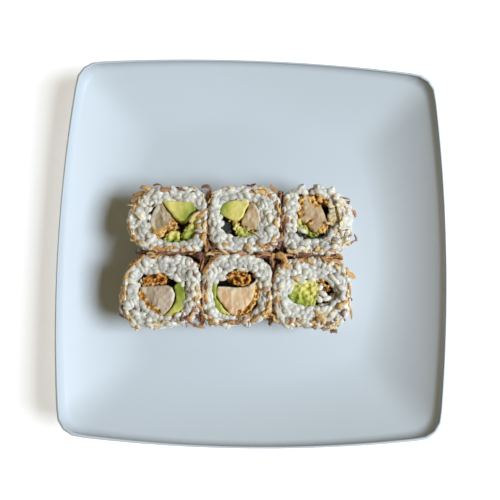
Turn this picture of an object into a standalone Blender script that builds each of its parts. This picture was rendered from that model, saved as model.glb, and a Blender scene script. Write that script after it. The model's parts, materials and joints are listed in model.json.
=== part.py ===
"""Six inside-out sushi rolls, cut face up, in two rows of three on a square coupe plate.

Metres, +Z up. The origin is on the surface that the plate stands on, under the middle of the plate.
+X runs along the rows, and +Y points from the front row to the back row.
Each roll is a ring of rice with crisp flakes on its outside, a sheet of nori and its fillings.
"""

import math
import random
from collections import namedtuple

import bmesh
import bpy
from mathutils import Euler, Matrix, Vector

MM = 0.001

# Plate
PLATE_WIDTH = 210 * MM
SIDE_BULGE = 7.2 * MM
CORNER_RADIUS = 13 * MM
STEPS_ALONG_HALF_SIDE = 5
STEPS_ROUND_HALF_CORNER = 3
FLOOR_Z = 6 * MM
WELL_THICKNESS = 4 * MM
WELL_SHARE = 0.66
RIM_RISE = 14.5 * MM
CORNER_LIFT = 4 * MM
WALL_CURVE = 1.7
WALL_STEPS = 4
LIP_THICKNESS = 2.6 * MM
FOOT_OUTER_SHARE = 0.60
FOOT_INNER_SHARE = 0.55

# What keeps neighbouring pieces apart
GAP = 0.3 * MM
WELD = 0.004 * MM
ROLLS_Z = FLOOR_Z + GAP
SHARP_DEGREES = 40

# Nori
NORI_THICKNESS = 0.6 * MM
NORI_BELOW_RICE = 1.8 * MM
NORI_STEPS = 18
NORI_SEAM_DEGREES = 16

# Rice and flakes
RICE_SIDES = 28
RICE_LEVELS = 3
FOOTPRINT_SHARE = 0.95
HOLE_SIDES = 24
HOLE_CORNERS = (2.6, 2.6, 2.6, 2.6)
FLAKE_DEPTH = 0.7 * MM
GRAIN_LENGTH = 6.4 * MM
GRAIN_WIDTH = 3.0 * MM
GRAINS_ON_TOP = 15
GRAINS_ON_SIDE = 3
FLAKES_ON_SIDE = 9
FLAKE_LENGTH = 6.5 * MM
FLAKE_WIDTH = 2.2 * MM
FLAKE_THICKNESS = 0.9 * MM
GOLDEN_SHARE = (math.sqrt(5) - 1) / 2

# Fillings
FILLING_SIDES = 16
FILLING_LEVELS = 2
CAP_INSET = 0.35 * MM
TOP_CLEARANCE = 0.8
CAP_DEPTH = 0.8 * MM

# Millimetres and degrees, all on the plate. corners says how square each corner is, from the one
# at +X +Y round to the one at +X -Y. slump is the direction in which the top sinks and by how
# much, dent is where rice leans into the hole, how far and how wide, seam is where the nori
# starts, tail is the stretch of nori that runs out into the rice, and cell is the room between
# the neighbours.
Roll = namedtuple(
    "Roll",
    "name centre size corners height hole_at hole_size dent slump taper seam tail cell seed",
)
OPEN = 90
ROLLS = [
    Roll("back_left", (-45.7, 11.6), (42.2, 34.8), (4.2, 2.3, 2.5, 4.5), 26.6, (-42.2, 11.2),
         (28.4, 25.0), (95, 0.8, 30), (160, 2.2), 0.0, -38, (0, 0), (-OPEN, -25.6, -4.8, OPEN), 11),
    Roll("back_middle", (-6.4, 13.2), (38.8, 34.4), (3.6, 4.4, 4.8, 4.0), 27.4, (-8.9, 13.0),
         (25.0, 22.4), (200, 0.6, 40), (70, 1.4), 0.0, 250, (0, 0), (-25.0, 12.5, -4.8, OPEN), 12),
    Roll("back_right", (31.8, 13.4), (38.6, 35.8), (2.8, 3.6, 4.2, 3.2), 26.4, (29.4, 16.2),
         (21.4, 26.2), (0, 0.5, 40), (15, 4.0), 0.0, 236, (-9.3, 1.6), (13.1, OPEN, -4.8, OPEN), 13),
    Roll("front_left", (-48.1, -24.5), (42.0, 37.2), (4.4, 2.2, 3.2, 3.6), 27.2, (-47.2, -26.3),
         (26.8, 26.0), (60, 1.0, 30), (215, 2.0), 0.05, 52, (7.6, 2.0), (-OPEN, -27.6, -OPEN, -5.4),
         14),
    Roll("front_middle", (-9.5, -23.2), (36.8, 36.8), (3.4, 4.2, 3.8, 3.2), 26.2, (-9.7, -24.3),
         (27.4, 27.6), (60, 1.6, 30), (250, 1.2), 0.0, 175, (0, 0), (-27.0, 8.4, -OPEN, -5.4), 15),
    Roll("front_right", (29.2, -24.4), (41.4, 36.6), (3.0, 4.0, 3.4, 3.4), 27.0, (28.4, -24.2),
         (27.4, 17.2), (-60, 0.8, 40), (-40, 2.6), 0.0, 20, (0, 0), (9.0, OPEN, -OPEN, -5.4), 16),
]

Filling = namedtuple("Filling", "kind roll label below_rice rough outline")
# The cut face of each filling, and how far its top lies below the rice, in millimetres.
FILLINGS = [
    Filling("avocado", "back_left", "avocado_slice", 0.2, 0.1,
            [(-50, 22.8), (-43.9, 23.4), (-34.6, 21.0), (-29.7, 19.2), (-34.2, 14.4),
             (-37.3, 10.5), (-41.1, 12.0), (-46.6, 18)]),
    Filling("chicken", "back_left", "chicken", 1.0, 0.3,
            [(-52, 20.9), (-49.6, 21.3), (-46.6, 16.6), (-42.0, 11.2), (-39.8, 8.8),
             (-41.2, 7.4), (-46.8, 5.8), (-50.0, 1.4), (-54.2, 5.2), (-56.2, 12)]),
    Filling("avocado", "back_left", "avocado_end", 0.6, 0.3,
            [(-48.6, 0.8), (-46.0, 4.8), (-41.0, 6.4), (-39.2, 4.6), (-40.6, 0.0), (-46.0, -1.4)]),
    Filling("avocado", "back_left", "avocado_edge", 1.2, 0.3,
            [(-38.6, 4.6), (-35.0, 10.4), (-29.6, 16.4), (-27.6, 12.4), (-28.6, 6.6), (-33, 2.4),
             (-38.2, 1.0)]),
    Filling("avocado", "back_middle", "avocado_slice", 0.0, 0.1,
            [(-20.9, 18.5), (-16.9, 22.9), (-8.9, 23.8), (-3.4, 23.6), (-5.9, 17.5),
             (-8.9, 12.2), (-14.4, 12.6), (-18.5, 15.3)]),
    Filling("chicken", "back_middle", "chicken", 0.8, 0.25,
            [(-2.7, 22.8), (1, 21.2), (2.8, 14), (2.4, 8.8), (0.2, 6.7), (-5, 7.3), (-8.0, 11.0),
             (-5.1, 17.2)]),
    Filling("avocado", "back_middle", "avocado_end", 0.4, 0.35,
            [(-12.0, 11.4), (-9.1, 10.4), (-5.6, 6.4), (-0.2, 5.8), (-2.4, 2.8), (-8.5, 2.6),
             (-11.7, 6.5)]),
    Filling("nori", "back_middle", "nori_fold", 2.4, 0.3,
            [(-19.8, 13.6), (-15.0, 11.4), (-12.9, 10.6), (-12.8, 6.0), (-15.6, 4.6),
             (-19.4, 8.0)]),
    Filling("chicken", "back_right", "chicken", 0.6, 0.35,
            [(23.2, 27.2), (28.6, 26.4), (32.8, 22.6), (36.9, 13.4), (39.3, 9.4), (36.5, 5.4),
             (31, 6.6), (25.6, 11.6), (20.2, 16.1), (20.0, 23)]),
    Filling("crust", "back_right", "crust", 0.0, 0.2,
            [(29.2, 27.6), (36.3, 28.4), (38.8, 23.6), (34.4, 22.4), (31.4, 25.6)]),
    Filling("avocado", "back_right", "avocado_end", 0.8, 0.3,
            [(19.8, 15.2), (24.2, 11.2), (29.6, 6.8), (33, 5.0), (27.6, 3.6), (20.4, 6.4)]),
    Filling("crust", "front_left", "crust", 0.6, 0.4,
            [(-59.3, -21.7), (-58.4, -18.5), (-55.5, -16.6), (-52.6, -14.8), (-47.2, -14.2),
             (-44.7, -17.7), (-46.2, -21.1), (-53.3, -21.9)]),
    Filling("chicken", "front_left", "chicken", 0.8, 0.25,
            [(-59.4, -23.4), (-53.3, -22.7), (-46.3, -21.9), (-42.2, -23.2), (-40.9, -28.4),
             (-43.4, -34.2), (-47.7, -37.6), (-53.9, -34.6), (-58.8, -29.0)]),
    Filling("avocado", "front_left", "avocado_slice", 0.5, 0.15,
            [(-41.2, -22.1), (-38.0, -20.2), (-35.2, -26), (-34.9, -34.8), (-39.7, -38.8),
             (-46.4, -38.8), (-43.0, -35.0), (-40.0, -29.2)]),
    Filling("crust", "front_middle", "crust", 0.4, 0.3,
            [(-14.3, -17.8), (-10.8, -12), (-8.2, -10.9), (-5.0, -13.0), (-0.8, -18.0),
             (-4.4, -21.2), (-9.5, -20.8)]),
    Filling("chicken", "front_middle", "chicken", 0.3, 0.25,
            [(-19.4, -22.2), (-12, -22.5), (-4.4, -22.0), (0.6, -18.5), (2.9, -23.0),
             (1.2, -29.6), (-4.8, -36.6), (-11.2, -37.4), (-14.4, -33.4), (-19.1, -28.0)]),
    Filling("avocado", "front_middle", "avocado_slice", 0.6, 0.15,
            [(-22.4, -19.0), (-20.2, -18.6), (-20.0, -23.9), (-20.0, -28.6), (-15.0, -34.2),
             (-12.4, -37.0), (-20.4, -36.9), (-23.2, -29)]),
    Filling("avocado", "front_right", "avocado_end", 0.4, 0.4,
            [(15.2, -31.0), (16.6, -26.2), (17.4, -19.8), (23.6, -17.7), (29.3, -16.5),
             (33.0, -21.4), (30.4, -31.0), (22.7, -31.8)]),
    Filling("crust", "front_right", "crust", 0.8, 0.35,
            [(30.6, -16.9), (35.2, -17.1), (37.9, -21.5), (35.2, -25.2), (32.9, -26.0),
             (34.0, -21.6)]),
]

FINISHES = {
    "porcelain": ((0.78, 0.82, 0.85), 0.16),
    "rice": ((0.84, 0.83, 0.76), 0.42),
    "nori": ((0.012, 0.018, 0.012), 0.38),
    "avocado": ((0.58, 0.66, 0.12), 0.45),
    "chicken": ((0.72, 0.62, 0.50), 0.50),
    "crust": ((0.70, 0.34, 0.06), 0.62),
}


def clear_scene():
    for obj in list(bpy.data.objects):
        bpy.data.objects.remove(obj, do_unlink=True)


def make_material(name):
    colour, roughness = FINISHES[name]
    material = bpy.data.materials.new(name)
    material.use_nodes = True
    shader = material.node_tree.nodes["Principled BSDF"]
    shader.inputs["Base Color"].default_value = (*colour, 1)
    shader.inputs["Roughness"].default_value = roughness
    shader.inputs["Metallic"].default_value = 0
    return material


def collection(name, shown=True):
    made = bpy.data.collections.new(name)
    made.hide_render = not shown
    bpy.context.scene.collection.children.link(made)
    return made


def object_from(bm, name, group, material=None, shown=True):
    mesh = bpy.data.meshes.new(name)
    bmesh.ops.recalc_face_normals(bm, faces=bm.faces)
    bm.to_mesh(mesh)
    bm.free()
    obj = bpy.data.objects.new(name, mesh)
    if material:
        mesh.materials.append(material)
    if not shown:
        obj.hide_render = True
        obj.display_type = "WIRE"
    group.objects.link(obj)
    return obj


def shade_round(obj):
    """Shades the round faces smooth, and leaves the edges of cuts and flakes sharp."""
    obj.data.shade_smooth()
    obj.data.set_sharp_from_angle(angle=math.radians(SHARP_DEGREES))


def apply_boolean(obj, operation, cutter=None, group=None):
    """Applies one Boolean with an object or a collection to obj's own mesh."""
    modifier = obj.modifiers.new(operation.title(), "BOOLEAN")
    modifier.operation = operation
    modifier.solver = "EXACT"
    if group:
        modifier.operand_type = "COLLECTION"
        modifier.collection = group
    else:
        modifier.object = cutter
    bpy.context.view_layer.update()
    graph = bpy.context.evaluated_depsgraph_get()
    joined = bpy.data.meshes.new_from_object(obj.evaluated_get(graph))
    obj.modifiers.remove(modifier)
    obj.data = joined


def largest_body(obj):
    """Keeps the outer skin of the largest body, so loose scraps go and closed hollows fill."""
    bm = bmesh.new()
    bm.from_mesh(obj.data)
    bmesh.ops.remove_doubles(bm, verts=bm.verts, dist=WELD)
    left = set(bm.faces)
    bodies = []
    while left:
        body, reached = set(), [next(iter(left))]
        while reached:
            face = reached.pop()
            if face in body:
                continue
            body.add(face)
            for edge in face.edges:
                if len(edge.link_faces) == 2:
                    reached.extend(edge.link_faces)
        bodies.append(body)
        left -= body
    bodies.sort(key=len)
    scraps = [face for body in bodies[:-1] for face in body]
    bmesh.ops.delete(bm, geom=scraps, context="FACES")
    bm.to_mesh(obj.data)
    bm.free()


# Plate

def rim_outline():
    """Points on the rim, seen from above: four bowed sides joined by round corners."""
    half = PLATE_WIDTH / 2
    chord = half - SIDE_BULGE
    side_radius = (chord**2 + SIDE_BULGE**2) / (2 * SIDE_BULGE)
    side_centre = half - side_radius
    inner = side_radius - CORNER_RADIUS
    corner = (side_centre + math.sqrt(2 * inner**2 - side_centre**2)) / 2
    turn = math.atan2(corner, corner - side_centre)
    eighth = []
    for step in range(STEPS_ALONG_HALF_SIDE):
        angle = turn * step / STEPS_ALONG_HALF_SIDE
        eighth.append(Vector((side_centre + side_radius * math.cos(angle),
                              side_radius * math.sin(angle))))
    for step in range(STEPS_ROUND_HALF_CORNER):
        angle = turn + (math.pi / 4 - turn) * step / STEPS_ROUND_HALF_CORNER
        eighth.append(Vector((corner + CORNER_RADIUS * math.cos(angle),
                              corner + CORNER_RADIUS * math.sin(angle))))
    tip = corner + CORNER_RADIUS * math.cos(math.pi / 4)
    mirrored = [point.yx for point in reversed(eighth[1:])]
    quarter = eighth + [Vector((tip, tip))] + mirrored
    return [Matrix.Rotation(turns * math.pi / 2, 2) @ point
            for turns in range(4) for point in quarter]


def plate_profile():
    """(share of the way out to the rim, height, lift that the corners get), from the middle of
    the top over the lip to the middle of the underside."""
    def wall(share):
        return max(0, (share - WELL_SHARE) / (1 - WELL_SHARE))

    top = [(0.0, FLOOR_Z, 0.0), (WELL_SHARE / 2, FLOOR_Z, 0.0)]
    for step in range(WALL_STEPS + 1):
        share = WELL_SHARE + (1 - WELL_SHARE) * 0.975 * step / WALL_STEPS
        rise = wall(share)
        top.append((share, FLOOR_Z + RIM_RISE * rise**WALL_CURVE, rise**2))
    rim_z = FLOOR_Z + RIM_RISE
    lip = [(0.988, rim_z, 1.0), (0.998, rim_z - 0.3 * LIP_THICKNESS, 1.0),
           (1.0, rim_z - 0.8 * LIP_THICKNESS, 1.0)]
    under = []
    for step in range(WALL_STEPS, 0, -1):
        share = WELL_SHARE + (1 - WELL_SHARE) * 0.985 * (step - 0.4) / WALL_STEPS
        rise = wall(share)
        height = FLOOR_Z - WELL_THICKNESS + RIM_RISE * rise**WALL_CURVE
        under.append((share, height, rise**2))
    foot = [(FOOT_OUTER_SHARE + 0.006, FLOOR_Z - WELL_THICKNESS, 0.0),
            (FOOT_OUTER_SHARE - 0.006, 0.0, 0.0), (FOOT_INNER_SHARE + 0.006, 0.0, 0.0),
            (FOOT_INNER_SHARE - 0.006, FLOOR_Z - WELL_THICKNESS, 0.0),
            (0.0, FLOOR_Z - WELL_THICKNESS, 0.0)]
    return top + lip + under + foot


def make_plate(group, material):
    """The profile is turned once round, then each turned ring is pulled out to the rim's outline."""
    outline = rim_outline()
    profile = plate_profile()
    half = PLATE_WIDTH / 2
    farthest = max(point.length for point in outline)
    bm = bmesh.new()
    lift_layer = bm.verts.layers.float.new("lift")
    verts = [bm.verts.new((share * half, 0, height)) for share, height, _ in profile]
    edges = [bm.edges.new(pair) for pair in zip(verts, verts[1:])]
    for vert, (_, _, lift) in zip(verts, profile):
        vert[lift_layer] = lift
    bmesh.ops.spin(bm, geom=verts + edges, cent=(0, 0, 0), axis=(0, 0, 1),
                   angle=2 * math.pi, steps=len(outline), use_merge=True)
    bmesh.ops.remove_doubles(bm, verts=bm.verts, dist=0.01 * MM)
    for vert in bm.verts:
        share = vert.co.xy.length / half
        if share < 1e-6:
            continue
        turned = math.atan2(vert.co.y, vert.co.x) / (2 * math.pi) * len(outline)
        rim = outline[round(turned) % len(outline)]
        circle = rim.normalized() * half
        place = circle.lerp(rim, min(1, share) ** 1.4) * share
        corner = (rim.length - half) / (farthest - half)
        vert.co = (place.x, place.y, vert.co.z + CORNER_LIFT * corner * vert[lift_layer])
    return object_from(bm, "plate", group, material)


# Outlines of rolls and holes

def super_radius(angle, size, corners):
    """Half a superellipse of the given width and depth, at this angle, each corner its own."""
    square = corners[int((angle % (2 * math.pi)) // (math.pi / 2)) % 4]
    across = abs(math.cos(angle)) / (size[0] / 2)
    along = abs(math.sin(angle)) / (size[1] / 2)
    return (across**square + along**square) ** (-1 / square)


def turn_between(a, b):
    return (a - b + math.pi) % (2 * math.pi) - math.pi


def outer_point(roll, angle, offset=0.0):
    """A point on the rice's side, kept inside the roll's cell."""
    radius = super_radius(angle, [side * MM for side in roll.size], roll.corners)
    wave = 0.45 * math.sin(3 * angle + roll.seed) + 0.35 * math.sin(5 * angle + 2 * roll.seed)
    radius += wave * MM - FLAKE_DEPTH + offset
    x = radius * math.cos(angle)
    y = radius * math.sin(angle)
    x *= 1 - roll.taper * y / (roll.size[1] / 2 * MM)
    x += roll.centre[0] * MM
    y += roll.centre[1] * MM
    low_x, high_x, low_y, high_y = (side * MM for side in roll.cell)
    return Vector((min(max(x, low_x + GAP), high_x - GAP),
                   min(max(y, low_y + GAP), high_y - GAP)))


def hole_point(roll, angle, offset=0.0):
    """A point on the wall of the hole in the rice, or offset outwards from it."""
    radius = super_radius(angle, [side * MM for side in roll.hole_size], HOLE_CORNERS)
    dent_at, dent_depth, dent_width = roll.dent
    away = turn_between(angle, math.radians(dent_at)) / math.radians(dent_width)
    radius += offset - dent_depth * MM * math.exp(-away**2)
    return Vector(roll.hole_at) * MM + Vector((math.cos(angle), math.sin(angle))) * radius


def top_of(roll, place):
    """Height of the cut face, which sinks towards one side of the roll."""
    direction, depth = roll.slump
    towards = Vector((math.cos(math.radians(direction)), math.sin(math.radians(direction))))
    out = (place - Vector(roll.centre) * MM).dot(towards) / (roll.size[0] / 2 * MM)
    return ROLLS_Z + (roll.height - depth * max(0, out) ** 2) * MM


def in_cell(roll, place, margin=0.15 * MM):
    low_x, high_x, low_y, high_y = (side * MM for side in roll.cell)
    return (low_x + margin < place.x < high_x - margin
            and low_y + margin < place.y < high_y - margin)


# Solid pillars, from a cylinder that is divided into levels and given an outline

def pillar(points, heights, jitter=None):
    """A bmesh that stands on the outline and rises through the heights, and its top face."""
    sides, levels = len(points), len(heights) - 1
    bm = bmesh.new()
    bmesh.ops.create_cone(bm, cap_ends=True, segments=sides, radius1=1, radius2=1, depth=levels)
    if levels > 1:
        uprights = [edge for edge in bm.edges if abs(edge.verts[0].co.z - edge.verts[1].co.z) > 0.5]
        bmesh.ops.subdivide_edges(bm, edges=uprights, cuts=levels - 1)
    top = [face for face in bm.faces if face.normal.z > 0.9]
    for vert in bm.verts:
        side = round(math.atan2(vert.co.y, vert.co.x) / (2 * math.pi) * sides) % sides
        level = round(vert.co.z + levels / 2)
        vert.co = (points[side].x, points[side].y, heights[level])
        if jitter:
            vert.co = jitter(vert.co, level)
    return bm, top


def make_core(roll, group, material):
    """The rice under the loose grains, with a gentle swell between its ends."""
    points = [outer_point(roll, 2 * math.pi * side / RICE_SIDES) for side in range(RICE_SIDES)]
    heights = [ROLLS_Z + roll.height * MM * level / RICE_LEVELS
               for level in range(RICE_LEVELS + 1)]
    draw = random.Random(roll.seed)
    centre = Vector((*roll.centre, 0)) * MM

    def jitter(place, level):
        pull = draw.uniform(0.975, 1.0) if level else FOOTPRINT_SHARE
        moved = centre + (place - centre) * pull
        height = place.z
        if level == RICE_LEVELS:
            height = top_of(roll, place.xy) - draw.uniform(0.4, 0.9) * MM
            moved = centre + (place - centre) * (pull - 0.03)
        return Vector((moved.x, moved.y, height))

    bm, top = pillar(points, heights, jitter)
    bmesh.ops.triangulate(bm, faces=top)
    return object_from(bm, f"rice_{roll.name}", group, material)


def add_grain(group, place, turn, scale=1.0):
    """One cooked grain: a low round solid, stretched."""
    bm = bmesh.new()
    bmesh.ops.create_icosphere(bm, subdivisions=1, radius=0.5)
    size = (GRAIN_LENGTH * scale, GRAIN_WIDTH * scale, GRAIN_WIDTH * 0.9 * scale)
    stretch = Matrix.Diagonal((*size, 1))
    bm.transform(Matrix.Translation(place) @ turn.to_matrix().to_4x4() @ stretch)
    object_from(bm, "grain", group, shown=False)


def add_flake(group, place, turn, scale=1.0):
    """One crisp flake: a thin slab, wider at one end."""
    bm = bmesh.new()
    bmesh.ops.create_cube(bm, size=1)
    for vert in bm.verts:
        if vert.co.x > 0:
            vert.co.y *= 0.55
    size = (FLAKE_LENGTH * scale, FLAKE_WIDTH * scale, FLAKE_THICKNESS)
    stretch = Matrix.Diagonal((*size, 1))
    bm.transform(Matrix.Translation(place) @ turn.to_matrix().to_4x4() @ stretch)
    object_from(bm, "flake", group, shown=False)


def reaches_out(roll, place, turn, length, width):
    """Whether the ends or edges of a piece would leave the roll's cell."""
    along = turn.to_matrix() @ Vector((length / 2, 0, 0))
    across = turn.to_matrix() @ Vector((0, width / 2, 0))
    ends = [place + sign * along + side * across for sign in (-1, 1) for side in (-1, 1)]
    return not all(in_cell(roll, end.xy) for end in ends)


def scatter(roll, group):
    """Grains on the cut face and the side, and flakes on the side, spread by the golden ratio."""
    draw = random.Random(roll.seed * 7)
    for count in range(GRAINS_ON_TOP):
        angle = 2 * math.pi * ((count * GOLDEN_SHARE) % 1)
        share = 0.2 + 0.62 * ((count * 0.755 + 0.3) % 1)
        place = hole_point(roll, angle).lerp(outer_point(roll, angle), share)
        turn = Euler((draw.uniform(-0.3, 0.3), draw.uniform(-0.2, 0.2), draw.uniform(0, math.pi)))
        spot = Vector((place.x, place.y, top_of(roll, place) - 0.5 * MM))
        if not reaches_out(roll, spot, turn, GRAIN_LENGTH, GRAIN_WIDTH):
            add_grain(group, spot, turn, draw.uniform(0.88, 1.06))
    for count in range(GRAINS_ON_SIDE + FLAKES_ON_SIDE):
        angle = 2 * math.pi * ((count * GOLDEN_SHARE + 0.17) % 1)
        rise = 0.12 + 0.84 * ((count * 0.37 + 0.5) % 1)
        grain = count >= FLAKES_ON_SIDE
        place = outer_point(roll, angle, -0.9 * MM if grain else -0.6 * MM)
        height = ROLLS_Z + rise * (top_of(roll, place) - ROLLS_Z)
        flat = Euler((math.pi / 2, 0, angle + math.pi / 2)).to_matrix()
        spin = Euler((draw.uniform(-0.25, 0.25), draw.uniform(-0.25, 0.25),
                      draw.uniform(0, math.pi))).to_matrix()
        turn = (flat @ spin).to_euler()
        spot = Vector((place.x, place.y, height))
        length, width = (GRAIN_LENGTH, GRAIN_WIDTH) if grain else (FLAKE_LENGTH, FLAKE_WIDTH)
        low = spot.z - length / 2 * abs((turn.to_matrix() @ Vector((1, 0, 0))).z) - width / 2
        if reaches_out(roll, spot, turn, length, width) or low < ROLLS_Z:
            continue
        if grain:
            add_grain(group, spot, turn, draw.uniform(0.9, 1.05))
        else:
            add_flake(group, spot, turn, draw.uniform(0.8, 1.2))


# Nori

def nori_path(roll):
    """The sheet's line seen from above: out of the rice, then once round the fillings."""
    inside = -(GAP + NORI_THICKNESS / 2)
    seam = math.radians(roll.seam)
    span = 2 * math.pi - math.radians(NORI_SEAM_DEGREES)
    loop = [hole_point(roll, seam + span * step / NORI_STEPS, inside)
            for step in range(NORI_STEPS + 1)]
    tail = Vector(roll.tail) * MM
    if tail.length == 0:
        return loop
    return [loop[0] + tail, loop[0] + tail * 0.5] + loop


def slot_outline(roll):
    """The slit that the nori's tail lies in, from the middle of the hole to past the tail's end."""
    start, _, root = nori_path(roll)[:3]
    along = (start - root).normalized()
    across = Vector((-along.y, along.x)) * (NORI_THICKNESS / 2 + GAP)
    end = start + along * GAP
    inner = root - along * 3 * MM
    return [end + across, inner + across, inner - across, end - across]


def make_ribbon(name, path, low, high, group, material):
    """An upright open strip along the path, given its thickness by Solidify."""
    curve = bpy.data.curves.new(name, "CURVE")
    curve.dimensions = "3D"
    curve.extrude = (high - low) / 2
    spline = curve.splines.new("POLY")
    spline.points.add(len(path) - 1)
    for point, place in zip(spline.points, path):
        point.co = (place.x, place.y, (low + high) / 2, 1)
    strip = bpy.data.objects.new(name, curve)
    group.objects.link(strip)
    bpy.context.view_layer.update()
    mesh = bpy.data.meshes.new_from_object(
        strip.evaluated_get(bpy.context.evaluated_depsgraph_get()))
    bpy.data.objects.remove(strip)
    obj = bpy.data.objects.new(name, mesh)
    group.objects.link(obj)
    mesh.materials.clear()
    mesh.materials.append(material)
    solid = obj.modifiers.new("Solidify", "SOLIDIFY")
    solid.thickness = NORI_THICKNESS
    solid.offset = 0
    solid.use_even_offset = True
    return obj


def nori_top(roll):
    return ROLLS_Z + roll.height * MM - NORI_BELOW_RICE


# Fillings

def smooth_outline(points, count):
    """Evenly spread points on a closed Catmull-Rom curve through the outline."""
    dense = []
    total = len(points)
    for index in range(total):
        before, start, end, after = (points[(index + shift) % total] for shift in (-1, 0, 1, 2))
        for step in range(8):
            t = step / 8
            dense.append(0.5 * (2 * start + (end - before) * t
                                + (2 * before - 5 * start + 4 * end - after) * t**2
                                + (3 * start - before - 3 * end + after) * t**3))
    lengths = [(b - a).length for a, b in zip(dense, dense[1:] + dense[:1])]
    spacing = sum(lengths) / count
    chosen, walked = [], 0.0
    for point, length in zip(dense, lengths):
        if walked >= len(chosen) * spacing - 1e-9:
            chosen.append(point)
        walked += length
    return chosen[:count]


def kept_in_nori(roll, place):
    """The place, pulled in where it would reach the nori."""
    middle = Vector(roll.hole_at) * MM
    out = place - middle
    angle = math.atan2(out.y, out.x)
    room = -(2 * GAP + NORI_THICKNESS + 0.15 * MM)
    most = (hole_point(roll, angle, room) - middle).length
    return middle + out * min(1, most / max(out.length, 1e-9))


def make_filling(filling, roll, group, material):
    """A pillar through the whole roll, with an uneven side and a rounded cut edge."""
    outline = [kept_in_nori(roll, Vector(point) * MM) for point in filling.outline]
    points = [kept_in_nori(roll, point) for point in smooth_outline(outline, FILLING_SIDES)]
    centre = sum(points, Vector((0, 0))) / len(points)
    top = ROLLS_Z + (roll.height - filling.below_rice - TOP_CLEARANCE) * MM
    heights = [ROLLS_Z + (top - CAP_DEPTH - ROLLS_Z) * level / FILLING_LEVELS
               for level in range(FILLING_LEVELS + 1)] + [top]
    draw = random.Random(len(filling.label) * 31 + roll.seed)
    middle_3d = Vector((centre.x, centre.y, 0))

    def jitter(place, level):
        inwards = (middle_3d - place).xy.normalized()
        pull = draw.uniform(0, filling.rough) * MM if level else 0
        if level > FILLING_LEVELS:
            pull += CAP_INSET
        lift = draw.uniform(-0.3, 0.3) * MM if level > FILLING_LEVELS else 0
        return Vector((place.x + inwards.x * pull, place.y + inwards.y * pull, place.z + lift))

    bm, cap = pillar(points, heights, jitter)
    bmesh.ops.triangulate(bm, faces=cap)
    return object_from(bm, f"{filling.label}_{roll.name}", group, material)


def make_rice(roll, group, cutters, material):
    """Core and loose pieces joined, then cut for the fillings and the nori's tail."""
    rice = make_core(roll, group, material)
    loose = collection(f"loose_{roll.name}", shown=False)
    scatter(roll, loose)
    apply_boolean(rice, "UNION", group=loose)
    for piece in list(loose.objects):
        bpy.data.objects.remove(piece)
    bpy.data.collections.remove(loose)

    hole = [hole_point(roll, 2 * math.pi * side / HOLE_SIDES) for side in range(HOLE_SIDES)]
    over = 10 * MM
    through = [ROLLS_Z - over, ROLLS_Z + roll.height * MM + over]
    hole_cutter = object_from(pillar(hole, through)[0], f"hole_{roll.name}", cutters, shown=False)
    apply_boolean(rice, "DIFFERENCE", cutter=hole_cutter)
    if Vector(roll.tail).length:
        slot = object_from(pillar(slot_outline(roll), through)[0], f"slot_{roll.name}", cutters,
                           shown=False)
        apply_boolean(rice, "DIFFERENCE", cutter=slot)
    largest_body(rice)
    return rice


def main():
    clear_scene()
    served = collection("uramaki_on_plate")
    cutters = collection("cutters", shown=False)
    materials = {name: make_material(name) for name in FINISHES}
    make_plate(served, materials["porcelain"])
    rolls = {roll.name: roll for roll in ROLLS}
    for roll in ROLLS:
        make_rice(roll, served, cutters, materials["rice"])
        make_ribbon(f"nori_{roll.name}", nori_path(roll), ROLLS_Z, nori_top(roll),
                    served, materials["nori"])
    for filling in FILLINGS:
        make_filling(filling, rolls[filling.roll], served, materials[filling.kind])
    for obj in served.objects:
        shade_round(obj)


main()
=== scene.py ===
"""Uramaki on a square white plate: rice, crisp fried flakes, nori, avocado and fried chicken."""

import json
import math
import random

import bpy
import numpy
from mathutils import Euler, Matrix, Vector, noise
from mathutils.bvhtree import BVHTree
from mathutils.kdtree import KDTree

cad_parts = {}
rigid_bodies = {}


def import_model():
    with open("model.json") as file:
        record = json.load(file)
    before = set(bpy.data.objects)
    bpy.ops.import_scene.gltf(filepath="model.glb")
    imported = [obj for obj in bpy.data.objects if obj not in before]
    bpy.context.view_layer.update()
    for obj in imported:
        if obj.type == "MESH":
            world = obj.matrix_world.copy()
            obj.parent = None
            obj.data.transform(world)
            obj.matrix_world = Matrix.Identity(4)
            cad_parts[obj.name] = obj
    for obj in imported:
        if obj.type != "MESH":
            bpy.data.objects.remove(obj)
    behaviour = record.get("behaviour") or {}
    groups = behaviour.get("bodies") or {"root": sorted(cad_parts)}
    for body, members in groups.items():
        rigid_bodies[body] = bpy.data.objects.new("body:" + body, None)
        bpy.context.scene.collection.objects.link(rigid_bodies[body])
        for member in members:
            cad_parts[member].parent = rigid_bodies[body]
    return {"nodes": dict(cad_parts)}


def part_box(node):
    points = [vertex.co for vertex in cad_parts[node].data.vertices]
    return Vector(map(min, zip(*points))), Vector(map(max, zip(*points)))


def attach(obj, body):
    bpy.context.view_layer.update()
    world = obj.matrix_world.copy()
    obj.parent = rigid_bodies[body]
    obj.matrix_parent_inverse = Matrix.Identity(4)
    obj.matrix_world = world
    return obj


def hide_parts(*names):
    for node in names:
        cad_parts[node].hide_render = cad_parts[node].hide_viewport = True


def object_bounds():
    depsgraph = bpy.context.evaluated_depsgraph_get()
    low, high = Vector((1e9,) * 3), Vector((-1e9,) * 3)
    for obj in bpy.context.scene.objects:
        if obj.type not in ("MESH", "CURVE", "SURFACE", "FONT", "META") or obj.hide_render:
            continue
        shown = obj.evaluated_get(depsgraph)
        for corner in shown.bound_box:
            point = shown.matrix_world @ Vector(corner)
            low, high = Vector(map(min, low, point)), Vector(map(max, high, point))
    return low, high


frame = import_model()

MM = 0.001
cad_box = [list(corner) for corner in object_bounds()]


# Handling pieces

def only(piece):
    """Selects this piece and nothing else."""
    bpy.ops.object.select_all(action="DESELECT")
    piece.select_set(True)
    bpy.context.view_layer.objects.active = piece


def edit_all(piece):
    only(piece)
    bpy.ops.object.mode_set(mode="EDIT")
    bpy.ops.mesh.select_all(action="SELECT")


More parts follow.
